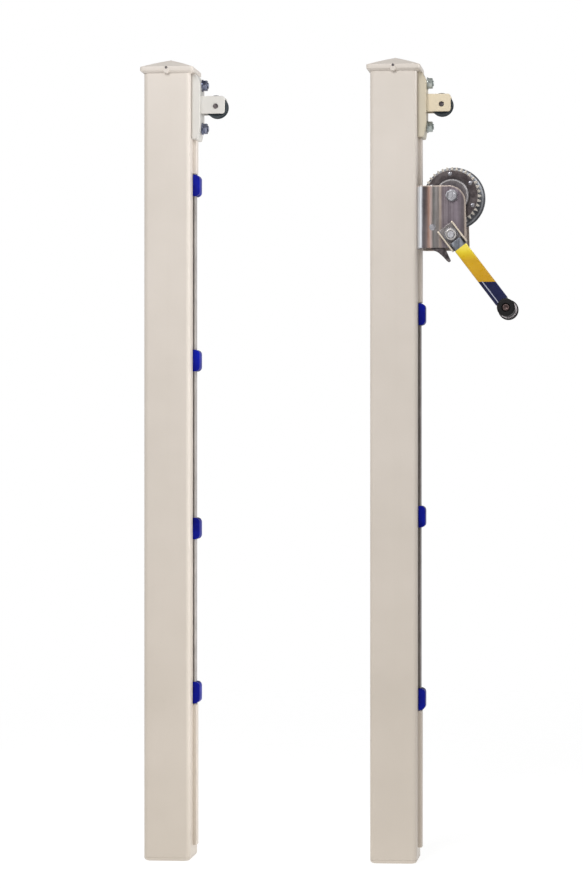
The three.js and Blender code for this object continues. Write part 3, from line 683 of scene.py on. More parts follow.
def plate_painted_light(f):
    """Painted light on the winch frame: a painted highlight on the bend, bands from the bend outwards that
    are partly real streaks and partly painted reflection and shade, and a painted highlight along its top and
    outer edges.
    """
    # The first bands paint a highlight on the bend; the rest paint reflections and shade across the plate,
    # along with its streaks
    streaks = bands_along("X", [
        (41.0, (250, 252, 255)), (47.6, (246, 249, 255)), (49.4, (96, 90, 94)), (52.5, (62, 55, 58)),
        (56.5, (98, 78, 72)), (60.5, (172, 130, 110)), (64.5, (190, 170, 163)), (67.5, (106, 106, 104)),
        (76.5, (140, 132, 128)), (79.5, (178, 160, 146)), (84.0, (112, 100, 106)),
        (108.0, (134, 122, 132)), (122.0, (98, 90, 92)),
    ], 2.2)(f)
    # A painted highlight along the top and outer edges
    corner = ((SIDE + FRAME_REACH - FRAME_CORNER) * MM, 0.0, (FRAME_HIGH - FRAME_CORNER) * MM)
    past, _ = f.vector("SUBTRACT", f.coordinates, corner)
    outside, _ = f.vector("MAXIMUM", past, (0.0, 0.0, 0.0))
    edge_highlight = f.spread(f.vector("LENGTH", outside)[1], 0.0, 0.62, 25.6 * MM, 26.8 * MM)
    return f.mix(edge_highlight, streaks, (230, 212, 196))


# Painted light and shade on the main gear: a painted highlight ring on the boss and a painted shadow line at
# its foot. The teeth are paler than the disc
GEAR_LIGHT_AND_SHADE = bands_around((AXIS_X, DRUM_Z), [
    (20.0, (100, 94, 98)), (24.0, (116, 110, 112)), (25.6, (190, 186, 188)), (28.0, (176, 172, 174)),
    (29.2, (36, 32, 34)), (33.0, (66, 58, 60)), (43.3, (80, 71, 72)), (44.6, (208, 201, 190)),
])
# Painted light and shade on the drum flange: a pale band near its edge and painted shade on its rolled rim
FLANGE_LIGHT_AND_SHADE = bands_around((AXIS_X, DRUM_Z), [
    (40.0, (120, 122, 128)), (47.0, (120, 122, 128)), (49.0, (206, 210, 216)), (50.6, (196, 200, 206)),
    (51.4, (58, 59, 64)), (54.0, (44, 45, 50)),
])
# Painted highlight on the socket's flange edges and painted shade inside it, under the arm
SOCKET_LIGHT_AND_SHADE = bands_along("Y", [
    (-58.5, (236, 222, 202)), (-57.0, (236, 222, 202)), (-56.2, (168, 162, 162)),
    (-46.0, (140, 134, 134)),
])
# Painted highlight and shade on the crank nut: bright and dark rings about the shaft
NUT_HIGHLIGHT_RINGS = bands_around((AXIS_X, CRANK_Z), [
    (4.6, (112, 104, 98)), (5.6, (168, 164, 160)), (6.4, (56, 52, 52)), (7.0, (198, 194, 192)),
    (9.0, (174, 170, 168)), (9.8, (96, 90, 88)),
])
YELLOW_BANDS = bands_along("Z", [
    (992.0, (200, 150, 5)), (1012.0, (208, 160, 7)), (1021.0, (203, 157, 5)), (1030.0, (218, 187, 10)),
    (1036.0, (233, 212, 40)), (1042.0, (248, 232, 90)),
], 3.0)
# Navy vinyl with a painted highlight line near the arm's lower edge
NAVY_WITH_EDGE_HIGHLIGHT = bands_across_arm([
    (-9.0, (20, 24, 64)), (-7.0, (20, 24, 64)), (-6.6, (196, 198, 212)), (-5.4, (196, 198, 212)),
    (-5.0, (20, 24, 64)), (12.0, (24, 30, 78)),
])

# The last colour is the foot colour, the painted shade at the ground
PAINT = paint("warm_white_powder_coat", (222, 213, 204), (213, 204, 194), (192, 182, 168), (236, 233, 227))
# The winch post's bracket paint, with painted shade next to the post and painted light on the cheek ends
BRACKET_PAINT = paint(
    "bracket_powder_coat", (218, 206, 182), (205, 192, 166), (168, 153, 128),
    bands=bands_along("X", [(40.0, (190, 184, 170)), (52.0, (195, 187, 168)), (60.0, (228, 213, 184))]),
)
# A lighter copy of the bracket paint for the plain post, with painted light where more light falls on it
LIT_BRACKET_PAINT = paint("lit_bracket_powder_coat", (212, 209, 204), (201, 198, 192), (168, 162, 150))
# One rail lacquer in two copies: a darker one for the winch post and a lighter one with painted light for the
# plain post
RAIL = moulded("dark_rail_lacquer", (152, 146, 143), (122, 116, 113), (0.45, 0.6), 300.0, sheen=0.3)
LIT_RAIL = moulded("lit_rail_lacquer", (178, 173, 170), (150, 145, 143), (0.45, 0.6), 300.0, sheen=0.3)
HOOK = moulded("royal_blue_plastic", (6, 24, 160), (2, 7, 104), (0.34, 0.5), sheen=0.12)
PULLEY = moulded("pulley_nylon", (50, 60, 66), (32, 40, 46), (0.38, 0.55), sheen=0.35)
GRIP = moulded("black_grip_plastic", (21, 19, 21), (11, 10, 12), (0.5, 0.66), 800.0, 0.05, sheen=0.25)
YELLOW = moulded("yellow_vinyl", (228, 186, 30), (212, 158, 14), (0.25, 0.4), 250.0, 0.02, YELLOW_BANDS)
NAVY = moulded("navy_vinyl", (24, 30, 78), (14, 17, 52), (0.25, 0.4), 250.0, 0.02, NAVY_WITH_EDGE_HIGHLIGHT, 0.3)
ZINC = zinc("bright_zinc", (112, 108, 114), (158, 156, 162), (208, 208, 212))
# A pale, non-metallic copy of zinc for the inside of the grip's cup: painted light in a recess that lies in
# shade
LIT_CUP_ZINC = zinc(
    "lit_cup_zinc", (212, 204, 206), (224, 217, 219), (236, 230, 232), (40.0, 40.0, 9.0), (0.5, 0.62),
    metallic=0.0,
)
NUT_ZINC = zinc("nut_zinc", (112, 108, 108), (158, 156, 156), (220, 218, 216), bands=NUT_HIGHLIGHT_RINGS)
BOLT_GRAIN = (160.0, 160.0, 40.0)
TEAL_ZINC = zinc(
    "teal_zinc", (104, 112, 110), (168, 176, 172), (222, 227, 224), BOLT_GRAIN, (0.2, 0.36), metallic=0.75
)
NAVY_ZINC = zinc("navy_zinc", (40, 44, 66), (86, 92, 120), (186, 190, 208), BOLT_GRAIN, (0.16, 0.32))
PLATE = zinc(
    "winch_plate_zinc", (74, 66, 66), (126, 118, 120), (206, 200, 202), (300.0, 300.0, 5.0),
    bands=plate_painted_light, metallic=0.7,
)
DARK_ZINC = zinc("dark_zinc", (50, 45, 47), (80, 74, 76), (126, 118, 118), (120.0, 120.0, 120.0))
GEAR_ZINC = zinc(
    "gear_zinc", (46, 41, 43), (84, 76, 78), (150, 142, 140), (120.0, 120.0, 120.0),
    bands=GEAR_LIGHT_AND_SHADE, metallic=0.6,
)
FLANGE_ZINC = zinc(
    "flange_zinc", (96, 96, 102), (140, 142, 148), (196, 198, 204), bands=FLANGE_LIGHT_AND_SHADE, metallic=0.7
)
SOCKET_ZINC = zinc(
    "socket_zinc", (84, 78, 78), (118, 112, 112), (176, 170, 168), bands=SOCKET_LIGHT_AND_SHADE, metallic=0.6
)
ARM_ZINC = zinc("arm_zinc", (70, 72, 80), (104, 108, 116), (170, 174, 182))
BROWN = zinc("brown_bolt", (80, 62, 60), (116, 98, 96), (150, 134, 130), (200.0, 200.0, 200.0))


# The posts

def tube():
    outer = rounded_square(WIDTH, CORNER)
    inner = rounded_square(WIDTH - 2 * WALL, INNER_CORNER)
    return plate([outer, inner], TUBE_LOW, TUBE_TOP, edge=0.6)


def foot_plug():
    sections = []
    steps = 6
    for k in range(steps + 1):
        angle = QUARTER * k / steps
        width = WIDTH - 2 * TUBE_LOW * (1 - math.sin(angle))
        height = TUBE_LOW * (1 - math.cos(angle))
        sections.append([(x, y, height) for x, y in rounded_square(width, CORNER)])
    skirt = rounded_square(SKIRT, INNER_CORNER)
    sections.append([(x, y, TUBE_LOW) for x, y in skirt])
    sections.append([(x, y, TUBE_LOW + 20) for x, y in skirt])
    return loft(sections)


CAP_SEAT = 82.0
RIM = 91.5
RIM_LOW = 1348.0
RIM_HIGH = 1355.5
RIM_CORNER = 5.0
PEAK = 1372.0


def cap():
    steps = [
        (TUBE_TOP - 10, SKIRT, 5.0),
        (TUBE_TOP, SKIRT, 5.0),
        (TUBE_TOP, CAP_SEAT, CORNER),
        (TUBE_TOP + 1.2, CAP_SEAT + 2.2, 7.4),
        (TUBE_TOP + 2.4, RIM - 2.6, 6.2),
        (RIM_LOW + 0.5, RIM - 0.5, RIM_CORNER),
        (RIM_LOW + 1.2, RIM, RIM_CORNER),
        (RIM_HIGH - 1.0, RIM, RIM_CORNER),
        (RIM_HIGH - 0.3, RIM - 0.5, RIM_CORNER),
        (RIM_HIGH + 0.2, RIM - 2.0, RIM_CORNER - 0.6),
    ]
    sections = [[(x, y, z) for x, y in rounded_square(width, corner)] for z, width, corner in steps]
    low_width = RIM - 2.0
    levels = 10
    for k in range(1, levels + 1):
        share = k / levels
        width = low_width + (5.0 - low_width) * share
        crown = 0.55 * math.sin(math.pi * share)
        height = RIM_HIGH + 0.2 + (PEAK - 0.8 - RIM_HIGH - 0.2) * share + crown
        corner = (RIM_CORNER - 0.6) * (1 - share) + 1.6 * share
        sections.append([(x, y, height) for x, y in rounded_square(width, corner)])
    sections.append([(x, y, PEAK - 0.15) for x, y in rounded_square(2.4, 0.9)])
    sections.append([(0.0, 0.0, PEAK)])
    body = loft(sections)
    front = -RIM / 2
    lug = lathe(
        [(0, front - 0.8), (4.4, front - 0.8), (5.0, front - 0.3), (5.0, front + 5), (0, front + 5)],
        at=(0.0, RIM_HIGH - 7.0), steps=SMALL_STEPS,
    )
    return merged(body, lug)


def cap_screw():
    seat = -RIM / 2 - 0.8
    height = RIM_HIGH - 2.0
    return lathe(
        [(0, seat - 0.5), (1.0, seat - 0.5), (1.05, seat - 1.0), (1.6, seat - 1.0), (2.2, seat - 0.5),
         (2.2, seat), (1.2, seat), (1.2, seat + 6), (0, seat + 6)],
        at=(0.0, height), steps=24, edge=0.1,
    )


STRIP_PROUD = 6.5


def strip(low, high):
    outline = rounded(
        [(SIDE, -10), (SIDE + STRIP_PROUD, -10), (SIDE + STRIP_PROUD, 10), (SIDE, 10)], [0, 1.6, 1.6, 0], 4
    )
    return plate([outline], low, high, edge=0.5)


def rail(low, high):
    outline = [
        (SIDE, -5), (SIDE + 2, -5), (SIDE + 2, -10), (SIDE + 4.2, -10),
        (SIDE + 4.2, 10), (SIDE + 2, 10), (SIDE + 2, 5), (SIDE, 5),
    ]
    return plate([rounded(outline, [0, 0, 0.5, 0.5, 0.5, 0.5, 0, 0], 3)], low, high, edge=0.3)


def net_hook(height):
    """A slider that clasps the rail, with a lip that closes a cord channel open towards the back."""
    heel, cavity, cord_low, cord_high, face = SIDE + 0.3, SIDE + 4.5, SIDE + 5.8, SIDE + 10.1, SIDE + 12.1
    claw = heel + 1.4
    section = [
        (heel, -13), (face, -13), (face, 13), (cord_high, 13), (cord_high, -8), (cord_low, -8),
        (cord_low, 13), (heel, 13), (heel, 5.3), (claw, 5.3), (claw, 10.3), (cavity, 10.3),
        (cavity, -10.3), (claw, -10.3), (claw, -5.3), (heel, -5.3),
    ]
    radii = [1.0, 2.2, 0.9, 0.9, 1.2, 1.2, 0.6, 1.0, 0.3, 0.3, 0.3, 0.3, 0.3, 0.3, 0.3, 0.3]
    outline = rounded(section, radii, 3)
    half = 18.5
    rounding = 8.0
    # Heights at which the outline is drawn, each with how far out it may reach there
    rows = []
    steps = 8
    for k in range(steps + 1):
        angle = QUARTER * k / steps
        rows.append((-half + rounding * (1 - math.cos(angle)), face - rounding * (1 - math.sin(angle))))
    rows += [(-z, reach) for z, reach in reversed(rows)]
    bm = bmesh.new()
    rings = []
    for z, reach in rows:
        inward = max(0.0, 0.8 - (half - abs(z))) if abs(z) > half - 0.8 else 0.0
        loop = inset(outline, inward) if inward else outline
        rings.append([bm.verts.new((min(x, reach), y, height + z)) for x, y in loop])
    for lower, upper in zip(rings, rings[1:]):
        band(bm, lower, upper)
    bm.faces.new(rings[0])
    bm.faces.new(rings[-1])
    bmesh.ops.remove_doubles(bm, verts=bm.verts, dist=1e-4)
    return outward(bm)


BRACKET_LOW = 1233.6
BRACKET_HIGH = 1344.7
SEAT = SIDE + 14.5
PULLEY_X = SIDE + 40.0
PULLEY_Z = 1290.5
CHEEK_LOW = PULLEY_Z - 12.5
CHEEK_HIGH = PULLEY_Z + 17.5
CHEEK_END = SIDE + 55.7
CHEEK_FRONT = -15.6
AXLE_HOLE = 4.3
BRACKET_BOLT = {
    "across": 17, "head": 7.5, "washer": 10.5, "washer_height": 2, "shank": 5, "stub": 1.8, "length": 22.5,
}


def head_bracket():
    saddle = rounded(
        [(SIDE, BRACKET_LOW), (SIDE + 10.6, BRACKET_LOW), (SEAT, BRACKET_LOW + 22.4),
         (SEAT, BRACKET_HIGH - 13.7), (SIDE + 8.0, BRACKET_HIGH), (SIDE, BRACKET_HIGH)],
        [0, 3.0, 8.0, 8.0, 3.0, 0], 5,
    )
    parts = [plate([saddle], -25, 25, axis="y", edge=1.6, edge_steps=4)]
    ear = rounded(
        [(SEAT - 1.5, CHEEK_LOW), (CHEEK_END, CHEEK_LOW), (CHEEK_END, CHEEK_HIGH), (SEAT - 1.5, CHEEK_HIGH)],
        [0, 5.0, 5.0, 0], 6,
    )
    hole = ring_points(AXLE_HOLE, 32, (PULLEY_X, PULLEY_Z))
    for low in (CHEEK_FRONT, 10.6):
        parts.append(plate([ear, hole], low, low + 5.0, axis="y", edge=0.7, edge_steps=3))
        for side in (low - 0.2, low + 5.2):
            bead = ring_points(1.5, 12, (SEAT, side))
            parts.append(plate([bead], CHEEK_LOW + 0.5, CHEEK_HIGH - 0.5, edge=0.6))
    return merged(*parts)


def head_pulley():
    half, radius, root, lip = 10.0, 19.2, 13.5, 2.5
    profile = [(AXLE_HOLE, -half), (9.0, -half), (9.6, -half + 0.8), (15.6, -half + 0.8), (16.2, -half),
               (radius, -half), (radius, lip - half)]
    for k in range(1, 16):
        angle = math.pi * k / 16
        profile.append((radius - math.sin(angle) * (radius - root), -math.cos(angle) * (half - lip)))
    profile += [(radius, half - lip), (radius, half), (16.2, half), (15.6, half - 0.8), (9.6, half - 0.8),
                (9.0, half), (AXLE_HOLE, half)]
    return lathe(profile, at=(PULLEY_X, PULLEY_Z), edge=0.25)


def pulley_axle():
    front, back = CHEEK_FRONT, -CHEEK_FRONT
    at = (PULLEY_X, PULLEY_Z)
    pin = [(0, front - 1.0), (3.4, front - 1.0), (4.0, front - 0.4), (4.0, 16.8), (0, 16.8)]
    head = [(0, back), (6.5, back), (6.5, 17.0), (5.2, 18.1), (0, 18.1)]
    return merged(lathe(pin, at=at, steps=SMALL_STEPS, edge=0.2), lathe(head, at=at, steps=SMALL_STEPS))


def side_bolt(seat, height, **size):
    return moved(hex_bolt(**size), Matrix.Translation((seat, 0, height)) @ TO_X)


def dress_post(name, x, strips, bracket_paint, bolt_zinc, rail_finish):
    def put(part, bm, material, **options):
        stand_for(f"{name}_{part}", moved(bm, Matrix.Translation((x, 0, 0))), material, **options)

    put("tube", tube(), PAINT)
    put("foot_plug", foot_plug(), PAINT)
    put("cap", cap(), PAINT, sharp=28.0)
    put("cap_screw", cap_screw(), DARK_ZINC)
    put("head_bracket", head_bracket(), bracket_paint)
    for which, height in BRACKET_BOLTS.items():
        put(f"bracket_bolt_{which}", side_bolt(SEAT, height, **BRACKET_BOLT), bolt_zinc)
    put("head_pulley", head_pulley(), PULLEY)
    put("pulley_axle", pulley_axle(), DARK_ZINC)
    put("hook_rail", rail(*RAILS[name]), rail_finish)
    for which, (low, high) in strips.items():
        put(f"{which}_strip", strip(low, high), PAINT)
    for index, height in enumerate(HOOKS[name]):
        put(f"net_hook_{index + 1}", net_hook(height), HOOK, sharp=40.0)


dress_post("winch_post", 0.0, {
    "upper": (1149.8, 1233.3), "middle": (953.0, 1043.7), "lower": (24.0, 257.0),
}, BRACKET_PAINT, TEAL_ZINC, RAIL)
# The plain post takes the lighter copies of the bracket paint and rail lacquer, with painted light
dress_post("plain_post", -SPACING, {
    "upper": (1176.0, 1233.3), "lower": (24.0, 265.0),
}, LIT_BRACKET_PAINT, NAVY_ZINC, LIT_RAIL)


# The winch

PAWL_X = 66.5
PAWL_Z = 1079.0
PAWL_HOLE = 3.5
PAWL_BACK = -29.8
PAWL_REACH = 32.0


def winch_frame():
    """A U of 3 mm plate: a back web on the post and two side plates that carry the axes."""
    half_web = FRAME_REAR - FRAME_RADIUS
    start = half_web + (FRAME_RADIUS - SHEET / 2) * QUARTER

    def across(x):
        return start + x - (SIDE + FRAME_RADIUS)

    root = across(SIDE + FRAME_RADIUS)
    right = rounded(
        [(root, FRAME_LOW), (across(SIDE + 85.0), FRAME_LOW), (across(SIDE + FRAME_REACH), FRAME_HIGH),
         (root, FRAME_HIGH)],
        [0, 8.0, FRAME_CORNER, 0], 14,
    )
    left = [(-a, z) for a, z in reversed(right)]
    holes = []
    for sign in (-1, 1):
        for height in (DRUM_Z, CRANK_Z):
            holes.append(ring_points(SHAFT_HOLE, 32, (sign * across(AXIS_X), height)))
    holes.append(ring_points(PAWL_HOLE, 24, (-across(PAWL_X), PAWL_Z)))
    for height in FRAME_BOLTS.values():
        holes.append(ring_points(5.3, 24, (0.0, height)))
    return folded(
        right + left, holes, half_web, FRAME_RADIUS, SHEET,
        lambda a, depth, along: (SIDE + depth, a, along), edge=0.5,
    )


def main_gear():
    outline = gear_outline(GEAR_TEETH, TOOTH_MODULE, 0.0)
    gear = plate([outline, ring_points(BUSH_HOLE, 64)], GEAR_FRONT, GEAR_BACK, axis="y", edge=0.3)
    boss = lathe(
        [(BUSH_HOLE, RATCHET_FRONT + 1.4), (24.6, RATCHET_FRONT + 1.4), (25.4, RATCHET_FRONT),
         (27.2, RATCHET_FRONT), (28.0, RATCHET_FRONT + 0.9), (28.0, GEAR_FRONT + 0.5),
         (BUSH_HOLE, GEAR_FRONT + 0.5)],
        edge=0.25,
    )
    bumps = []
    count = 6
    middle = 38.0
    for k in range(count):
        angle = math.radians(95.5 + 360 / count * k)
        bumps.append(lathe(
            [(0, GEAR_FRONT - 1.2), (2.2, GEAR_FRONT - 1.0), (3.4, GEAR_FRONT - 0.5), (4.0, GEAR_FRONT + 0.3),
             (0, GEAR_FRONT + 0.3)],
            at=(middle * math.cos(angle), middle * math.sin(angle)), steps=32, edge=0,
        ))
        for face in bumps[-1].faces:
            face.material_index = 1
    return moved(merged(gear, boss, *bumps), Matrix.Translation((AXIS_X, 0, DRUM_Z)))


def sleeve(inner, outer, low, high, at, steps=ROUND_STEPS):
    return lathe([(inner, low), (outer, low), (outer, high), (inner, high)], at=at, steps=steps)


def drum_flange():
    end = -RATCHET_FRONT
    profile = [
        (BUSH_HOLE, FLANGE_FRONT), (50.4, FLANGE_FRONT), (51.4, 25.9), (53.2, 26.4), (53.6, 27.5),
        (53.2, 28.6), (51.8, 29.0), (14.0, 29.0), (14.0, end), (BUSH_HOLE, end),
    ]
    return lathe(profile, at=(AXIS_X, DRUM_Z), edge=0.2)


def pinion():
    outline = gear_outline(PINION_TEETH, TOOTH_MODULE, math.pi / PINION_TEETH)
    disc = plate([outline, ring_points(SHAFT_HOLE, 48)], RATCHET_BACK, PINION_BACK, axis="y", edge=0.3)
    return moved(disc, Matrix.Translation((AXIS_X, 0, CRANK_Z)))


def ratchet_wheel():
    points = []
    for tooth in range(RATCHET_TEETH):
        angle = RATCHET_PHASE + tooth * 2 * math.pi / RATCHET_TEETH
        for radius in (RATCHET_ROOT, RATCHET_TIP):
            points.append((radius * math.cos(angle), radius * math.sin(angle)))
    disc = plate([points, ring_points(SHAFT_HOLE, 48)], RATCHET_FRONT, RATCHET_BACK, axis="y", edge=0.2)
    return moved(disc, Matrix.Translation((AXIS_X, 0, CRANK_Z)))


# The pawl in shares of its reach: towards its nose, and across
PAWL_OUTLINE = [
    (0, -0.13), (0.88, -0.13), (0.94, 0), (1, 0), (1.03, -0.12), (1.36, -0.09), (2.02, -0.2), (2.03, -0.33),
    (1.9, -0.38), (1.6, -0.42), (1.25, -0.51), (0.93, -0.72), (0.3, -0.5), (0, -0.2),
]
PAWL_ROUNDS = [0, 1.0, 0.6, 0.6, 1.0, 6.0, 2.2, 2.2, 4.0, 16.0, 12.0, 8.0, 8.0, 0]


def pawl():
    to_x, to_z = AXIS_X - PAWL_X, CRANK_Z - PAWL_Z
    distance = math.hypot(to_x, to_z)
    nose = RATCHET_TIP + 2.0
    cosine = (distance ** 2 + PAWL_REACH ** 2 - nose ** 2) / (2 * distance * PAWL_REACH)
    turn = math.atan2(to_z, to_x) - math.acos(cosine)
    points = []
    for forward, across in PAWL_OUTLINE:
        u, v = forward * PAWL_REACH, across * PAWL_REACH
        points.append((u * math.cos(turn) - v * math.sin(turn), u * math.sin(turn) + v * math.cos(turn)))
    blade = plate([rounded(points, PAWL_ROUNDS, 4)], RATCHET_FRONT, PAWL_BACK, axis="y", edge=0.5)
    eye = sleeve(PAWL_HOLE, 8.0, RATCHET_FRONT - 0.02, RATCHET_BACK + 0.02, (0.0, 0.0), SMALL_STEPS)
    return moved(merged(blade, eye), Matrix.Translation((PAWL_X, 0, PAWL_Z)))


def drum_bolt():
    bolt = hex_bolt(across=17, head=6, washer=10, washer_height=1.5, shank=6, stub=1, length=84.5)
    return moved(bolt, Matrix.Translation((AXIS_X, FRAME_FRONT, DRUM_Z)) @ TO_FRONT)


def pawl_pin():
    return lathe(
        [(0, FRAME_FRONT - 1.5), (3.6, FRAME_FRONT - 1.5), (5.5, FRAME_FRONT - 0.5), (5.5, FRAME_FRONT),
         (3.2, FRAME_FRONT), (3.2, -27.6), (4.2, -27.6), (4.2, -26.1), (0, -26.1)],
        at=(PAWL_X, PAWL_Z), steps=SMALL_STEPS, edge=0.15,
    )


def crank_shaft():
    return lathe(
        [(0, -62.0), (5.2, -62.0), (SHAFT, -61.2), (SHAFT, PINION_BACK), (8.0, PINION_BACK), (8.0, BUSH_END),
         (SHAFT, BUSH_END), (SHAFT, 40.5), (5.2, 41.3), (0, 41.3)],
        at=(AXIS_X, CRANK_Z), steps=64, edge=0.2,
    )


def dress_winch():
    drum = (AXIS_X, DRUM_Z)
    crank = (AXIS_X, CRANK_Z)
    rear_washer = sleeve(SHAFT_HOLE, 10.0, FRAME_REAR, FRAME_REAR + 1.5, drum)
    rear_hex = moved(hex_head(17, 0.8, 7.5), Matrix.Translation((AXIS_X, FRAME_REAR, DRUM_Z)) @ TO_REAR)
    pieces = [("frame", winch_frame(), PLATE)]
    for which, height in FRAME_BOLTS.items():
        pieces.append((f"frame_bolt_{which}", side_bolt(SIDE + SHEET, height, **FRAME_BOLT), ZINC))
    pieces += [
        ("main_gear", main_gear(), [GEAR_ZINC, ZINC]),
        ("drum_core", sleeve(BUSH_HOLE, 22.0, GEAR_BACK, FLANGE_FRONT, drum), DARK_ZINC),
        ("drum_flange", drum_flange(), FLANGE_ZINC),
        ("drum_bush", sleeve(SHAFT_HOLE, BUSH, -BUSH_END, BUSH_END, drum), ZINC),
        ("drum_shaft", drum_bolt(), ZINC),
        ("drum_shaft_nut", merged(rear_washer, rear_hex), ZINC),
        ("pinion", pinion(), DARK_ZINC),
        ("ratchet_wheel", ratchet_wheel(), DARK_ZINC),
        ("pawl", pawl(), DARK_ZINC),
        ("pawl_pin", pawl_pin(), ZINC),
        ("pawl_washer", sleeve(PAWL_HOLE, 7.0, -29.25, -27.75, (PAWL_X, PAWL_Z), SMALL_STEPS), ZINC),
        ("crank_shaft", crank_shaft(), ZINC),
        ("crank_spacer", sleeve(SHAFT_HOLE, BUSH, SOCKET_BACK, FRAME_FRONT - GAP, crank), ZINC),
        ("crank_shaft_clip", sleeve(SHAFT_HOLE, BUSH, FRAME_REAR + GAP, FRAME_REAR + 3.0, crank), ZINC),
    ]
    for node, bm, material in pieces:
        stand_for(f"winch_{node}", bm, material)


dress_winch()


# The crank, drawn along its own length and then turned about its shaft

ARM_HALF = 11.5
ARM_RADIUS = 4.0
ARM_DEPTH = 8.0
WRAP_START = 27.0
WRAP_END = 141.5
WRAP_BREAK = 79.9
WASHER = 2.0
ARM_ARC = (ARM_RADIUS - SHEET / 2) * QUARTER


def channel_half(half_width, depth):
    """(half the flat web, half the whole flat pattern) of a folded channel."""
    half_web = half_width - ARM_RADIUS
    return half_web, half_web + ARM_ARC + depth - ARM_RADIUS


def crank_socket():
    half_web, half_flat = channel_half(16.0, 13.0)
    low, high = -17.7, 25.0
    outline = [(-half_flat, low), (half_flat, low), (half_flat, high), (-half_flat, high)]
    return folded(
        rounded(outline, 2.0, 5), [ring_points(SHAFT_HOLE, 32)], half_web, ARM_RADIUS, SHEET,
        lambda a, depth, along: (along, SOCKET_BACK - depth, a), edge=0.5,
    )


def on_arm(a, depth, along):
    return along, ARM_FRONT + depth, a


def crank_arm():
    half_web, half_flat = channel_half(ARM_HALF, ARM_DEPTH)
    low, high = 12.5, 144.0
    outline = [(-half_flat, low), (half_flat, low), (half_flat, high), (-half_flat, high)]
    arm = folded(rounded(outline, [1.5, 1.5, 0, 0], 4), [], half_web, ARM_RADIUS, SHEET, on_arm)
    cup = lathe(
        [(GRIP_HOLE, ARM_FRONT - 0.1), (14.8, ARM_FRONT - 0.1), (15.3, -59.0), (15.8, -59.5), (16.5, -59.5),
         (17.0, -59.0), (17.0, SOCKET_FRONT), (14.8, SOCKET_FRONT), (14.8, ARM_BACK), (GRIP_HOLE, ARM_BACK)],
        at=(GRIP_ALONG, 0.0), edge=0,
    )
    # Faces inside the cup take the painted-light zinc, the rim the black plastic
    for face in cup.faces:
        distance = math.hypot(face.calc_center_median().x - GRIP_ALONG, face.calc_center_median().z)
        face.material_index = 1 if distance > 15.4 else 2
    return merged(arm, cup)


def arm_wrap(is_upper):
    """A thin sleeve over the arm's face and folds. The two colours meet on a level line."""
    half_web, half_flat = channel_half(ARM_HALF, ARM_DEPTH - 1.2)

    def break_at(across):
        beyond = abs(across) - half_web
        real = abs(across)
        if beyond > 0:
            real = half_web + ARM_RADIUS * math.sin(min(1.0, beyond / ARM_ARC) * QUARTER)
        real = math.copysign(real, across)
        return (WRAP_BREAK + real * math.cos(CRANK_ANGLE)) / math.sin(CRANK_ANGLE)

    steps = 24
    line = [-half_flat + 2 * half_flat * k / steps for k in range(steps + 1)]
    border = [(a, break_at(a)) for a in line]
    if is_upper:
        outline = [(-half_flat, WRAP_START), (half_flat, WRAP_START)] + border[::-1]
    else:
        outline = border + [(half_flat, WRAP_END), (-half_flat, WRAP_END)]
    return folded(outline, [], half_web, ARM_RADIUS, SHEET, on_arm, skin=0.5, edge=0.15)


def grip():
    base = ARM_FRONT - GAP
    front = base - GRIP_LENGTH
    outline = [(GRIP_HOLE, front + 6), (7.0, front + 6), (7.0, front + 0.6), (7.6, front)]
    for k in range(9):
        angle = QUARTER * k / 8
        outline.append((15.0 - 3.0 * (1 - math.sin(angle)), front + 3.0 * (1 - math.cos(angle))))
    steps = 24
    for k in range(1, steps):
        share = k / steps
        radius = 12.8 + 2.2 * (1 - share) ** 3 + 0.5 * math.sin(math.pi * share * 2) * share - 0.5 * share
        outline.append((radius, front + 10.5 + (GRIP_LENGTH - 14.5) * share))
    outline += [(12.0, base - 3.0), (12.0, base), (GRIP_HOLE, base)]
    return lathe(outline, at=(GRIP_ALONG, 0.0), edge=0)


def grip_bolt():
    back = ARM_FRONT - GAP - GRIP_LENGTH + 6.0 - GAP
    socket = [(0, back - 1.6), (2.4, back - 1.6), (2.9, back - 4.0), (5.2, back - 4.0), (6.3, back - 2.9),
              (6.3, back), (4.0, back), (4.0, -48.6), (0, -48.6)]
    return lathe(socket, at=(GRIP_ALONG, 0.0), steps=SMALL_STEPS, edge=0.2)


def grip_nut():
    return moved(hex_head(12.0, 0.0, 4.5), Matrix.Translation((GRIP_ALONG, ARM_BACK, 0)) @ TO_REAR)


def crank_nut():
    seat = Matrix.Translation((0, SOCKET_FRONT - WASHER, 0)) @ TO_FRONT
    return moved(hex_head(19.0, 0.0, 9.0, dome=0.9), seat)


def dress_crank():
    washer = sleeve(SHAFT_HOLE, 12.0, SOCKET_FRONT - WASHER, SOCKET_FRONT, (0.0, 0.0))
    for node, bm, material in (
        ("crank_socket", crank_socket(), SOCKET_ZINC),
        ("crank_arm", crank_arm(), [ARM_ZINC, GRIP, LIT_CUP_ZINC]),
        ("crank_wrap_upper", arm_wrap(True), YELLOW),
        ("crank_wrap_lower", arm_wrap(False), NAVY),
        ("crank_washer", washer, ZINC),
        ("crank_nut", crank_nut(), NUT_ZINC),
        ("grip", grip(), GRIP),
        ("grip_bolt", grip_bolt(), BROWN),
        ("grip_nut", grip_nut(), ZINC),
    ):
        stand_for(f"winch_{node}", moved(bm, CRANK_TURN), material)


dress_crank()


# The stage

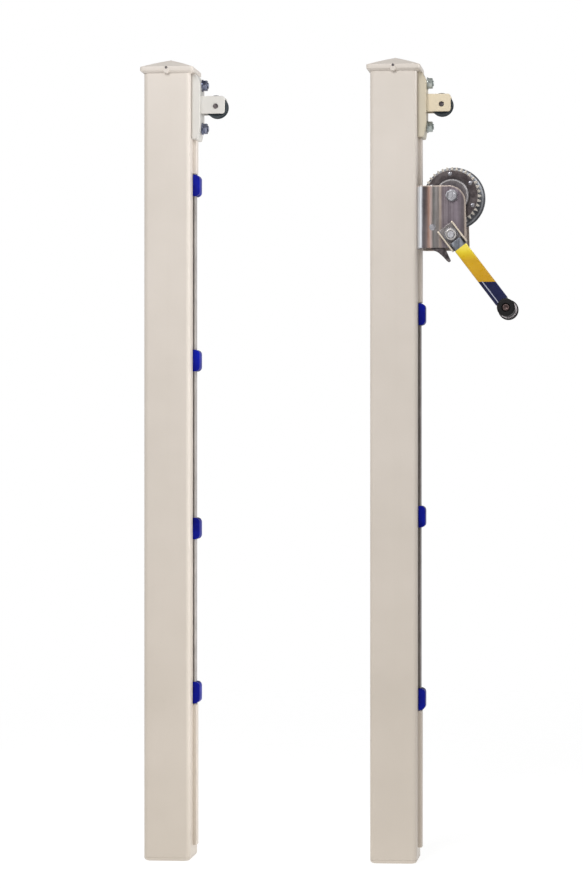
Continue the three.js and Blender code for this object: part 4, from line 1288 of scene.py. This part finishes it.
def floor():
    bm = bmesh.new()
    bmesh.ops.create_circle(bm, cap_ends=True, segments=ROUND_STEPS, radius=FLOOR_RADIUS_M / MM)
    f = Finish("studio_floor", roughness=0.8)
    set_inputs(f.shader, {
        "Base Color": (FLOOR_GREY, FLOOR_GREY, FLOOR_GREY, 1.0), "Emission Color": WHITE,
        "Emission Strength": FLOOR_GLOW, "Specular IOR Level": 0.0,
    })
    fade = f.spread(f.vector("LENGTH", f.coordinates)[1], 0.0, 1.0, *FLOOR_FADE_M)
    clear = f.add("BsdfTransparent")
    blend = f.add("MixShader")
    f.link(fade, blend.inputs["Fac"])
    f.link(f.shader.outputs["BSDF"], blend.inputs[1])
    f.link(clear.outputs["BSDF"], blend.inputs[2])
    f.link(blend.outputs["Shader"], f.tree.nodes["Material Output"].inputs["Surface"])
    obj = make("floor", bm, f.done(), weighted=False)
    obj.location = FLOOR_CENTRE_M


def area_light(name, at, towards, size, power):
    light = bpy.data.lights.new(name, "AREA")
    light.shape = "RECTANGLE"
    light.size, light.size_y = size
    light.energy = power
    obj = bpy.data.objects.new(name, light)
    obj.location = at
    obj.rotation_euler = (Vector(towards) - Vector(at)).to_track_quat("-Z", "Y").to_euler()
    obj.visible_camera = False
    bpy.context.scene.collection.objects.link(obj)


def world():
    """White to the camera, and to the object a pale wall behind it and a dimmer room in front."""
    scene_world = bpy.data.worlds.new("studio")
    bpy.context.scene.world = scene_world
    scene_world.use_nodes = True
    w = Nodes(scene_world.node_tree)
    w.tree.nodes.clear()
    split, room, seen = w.add("SeparateXYZ"), w.add("Background"), w.add("Background")
    path, blend, out = w.add("LightPath"), w.add("MixShader"), w.add("OutputWorld")
    w.link(w.add("TexCoord").outputs["Generated"], split.inputs["Vector"])
    w.link(w.spread(split.outputs["Y"], *ROOM_LIGHT, -0.5, 0.5), room.inputs["Strength"])
    w.link(path.outputs["Is Camera Ray"], blend.inputs["Fac"])
    w.link(room.outputs["Background"], blend.inputs[1])
    w.link(seen.outputs["Background"], blend.inputs[2])
    w.link(blend.outputs["Shader"], out.inputs["Surface"])
    for background in (room, seen):
        set_inputs(background, {"Color": WHITE})


floor()
world()
for light_name, setting in LIGHTS.items():
    area_light(light_name, *setting)

camera_data = bpy.data.cameras.new("camera")
camera = bpy.data.objects.new("camera", camera_data)
bpy.context.scene.collection.objects.link(camera)
bpy.context.scene.camera = camera
camera.location = CAMERA_AT_M
camera.rotation_euler = (QUARTER, 0.0, CAMERA_YAW)
camera_data.lens = CAMERA_LENS
camera_data.sensor_width = SENSOR
camera_data.shift_x = CAMERA_SHIFT
bpy.context.scene.view_settings.view_transform = "Standard"
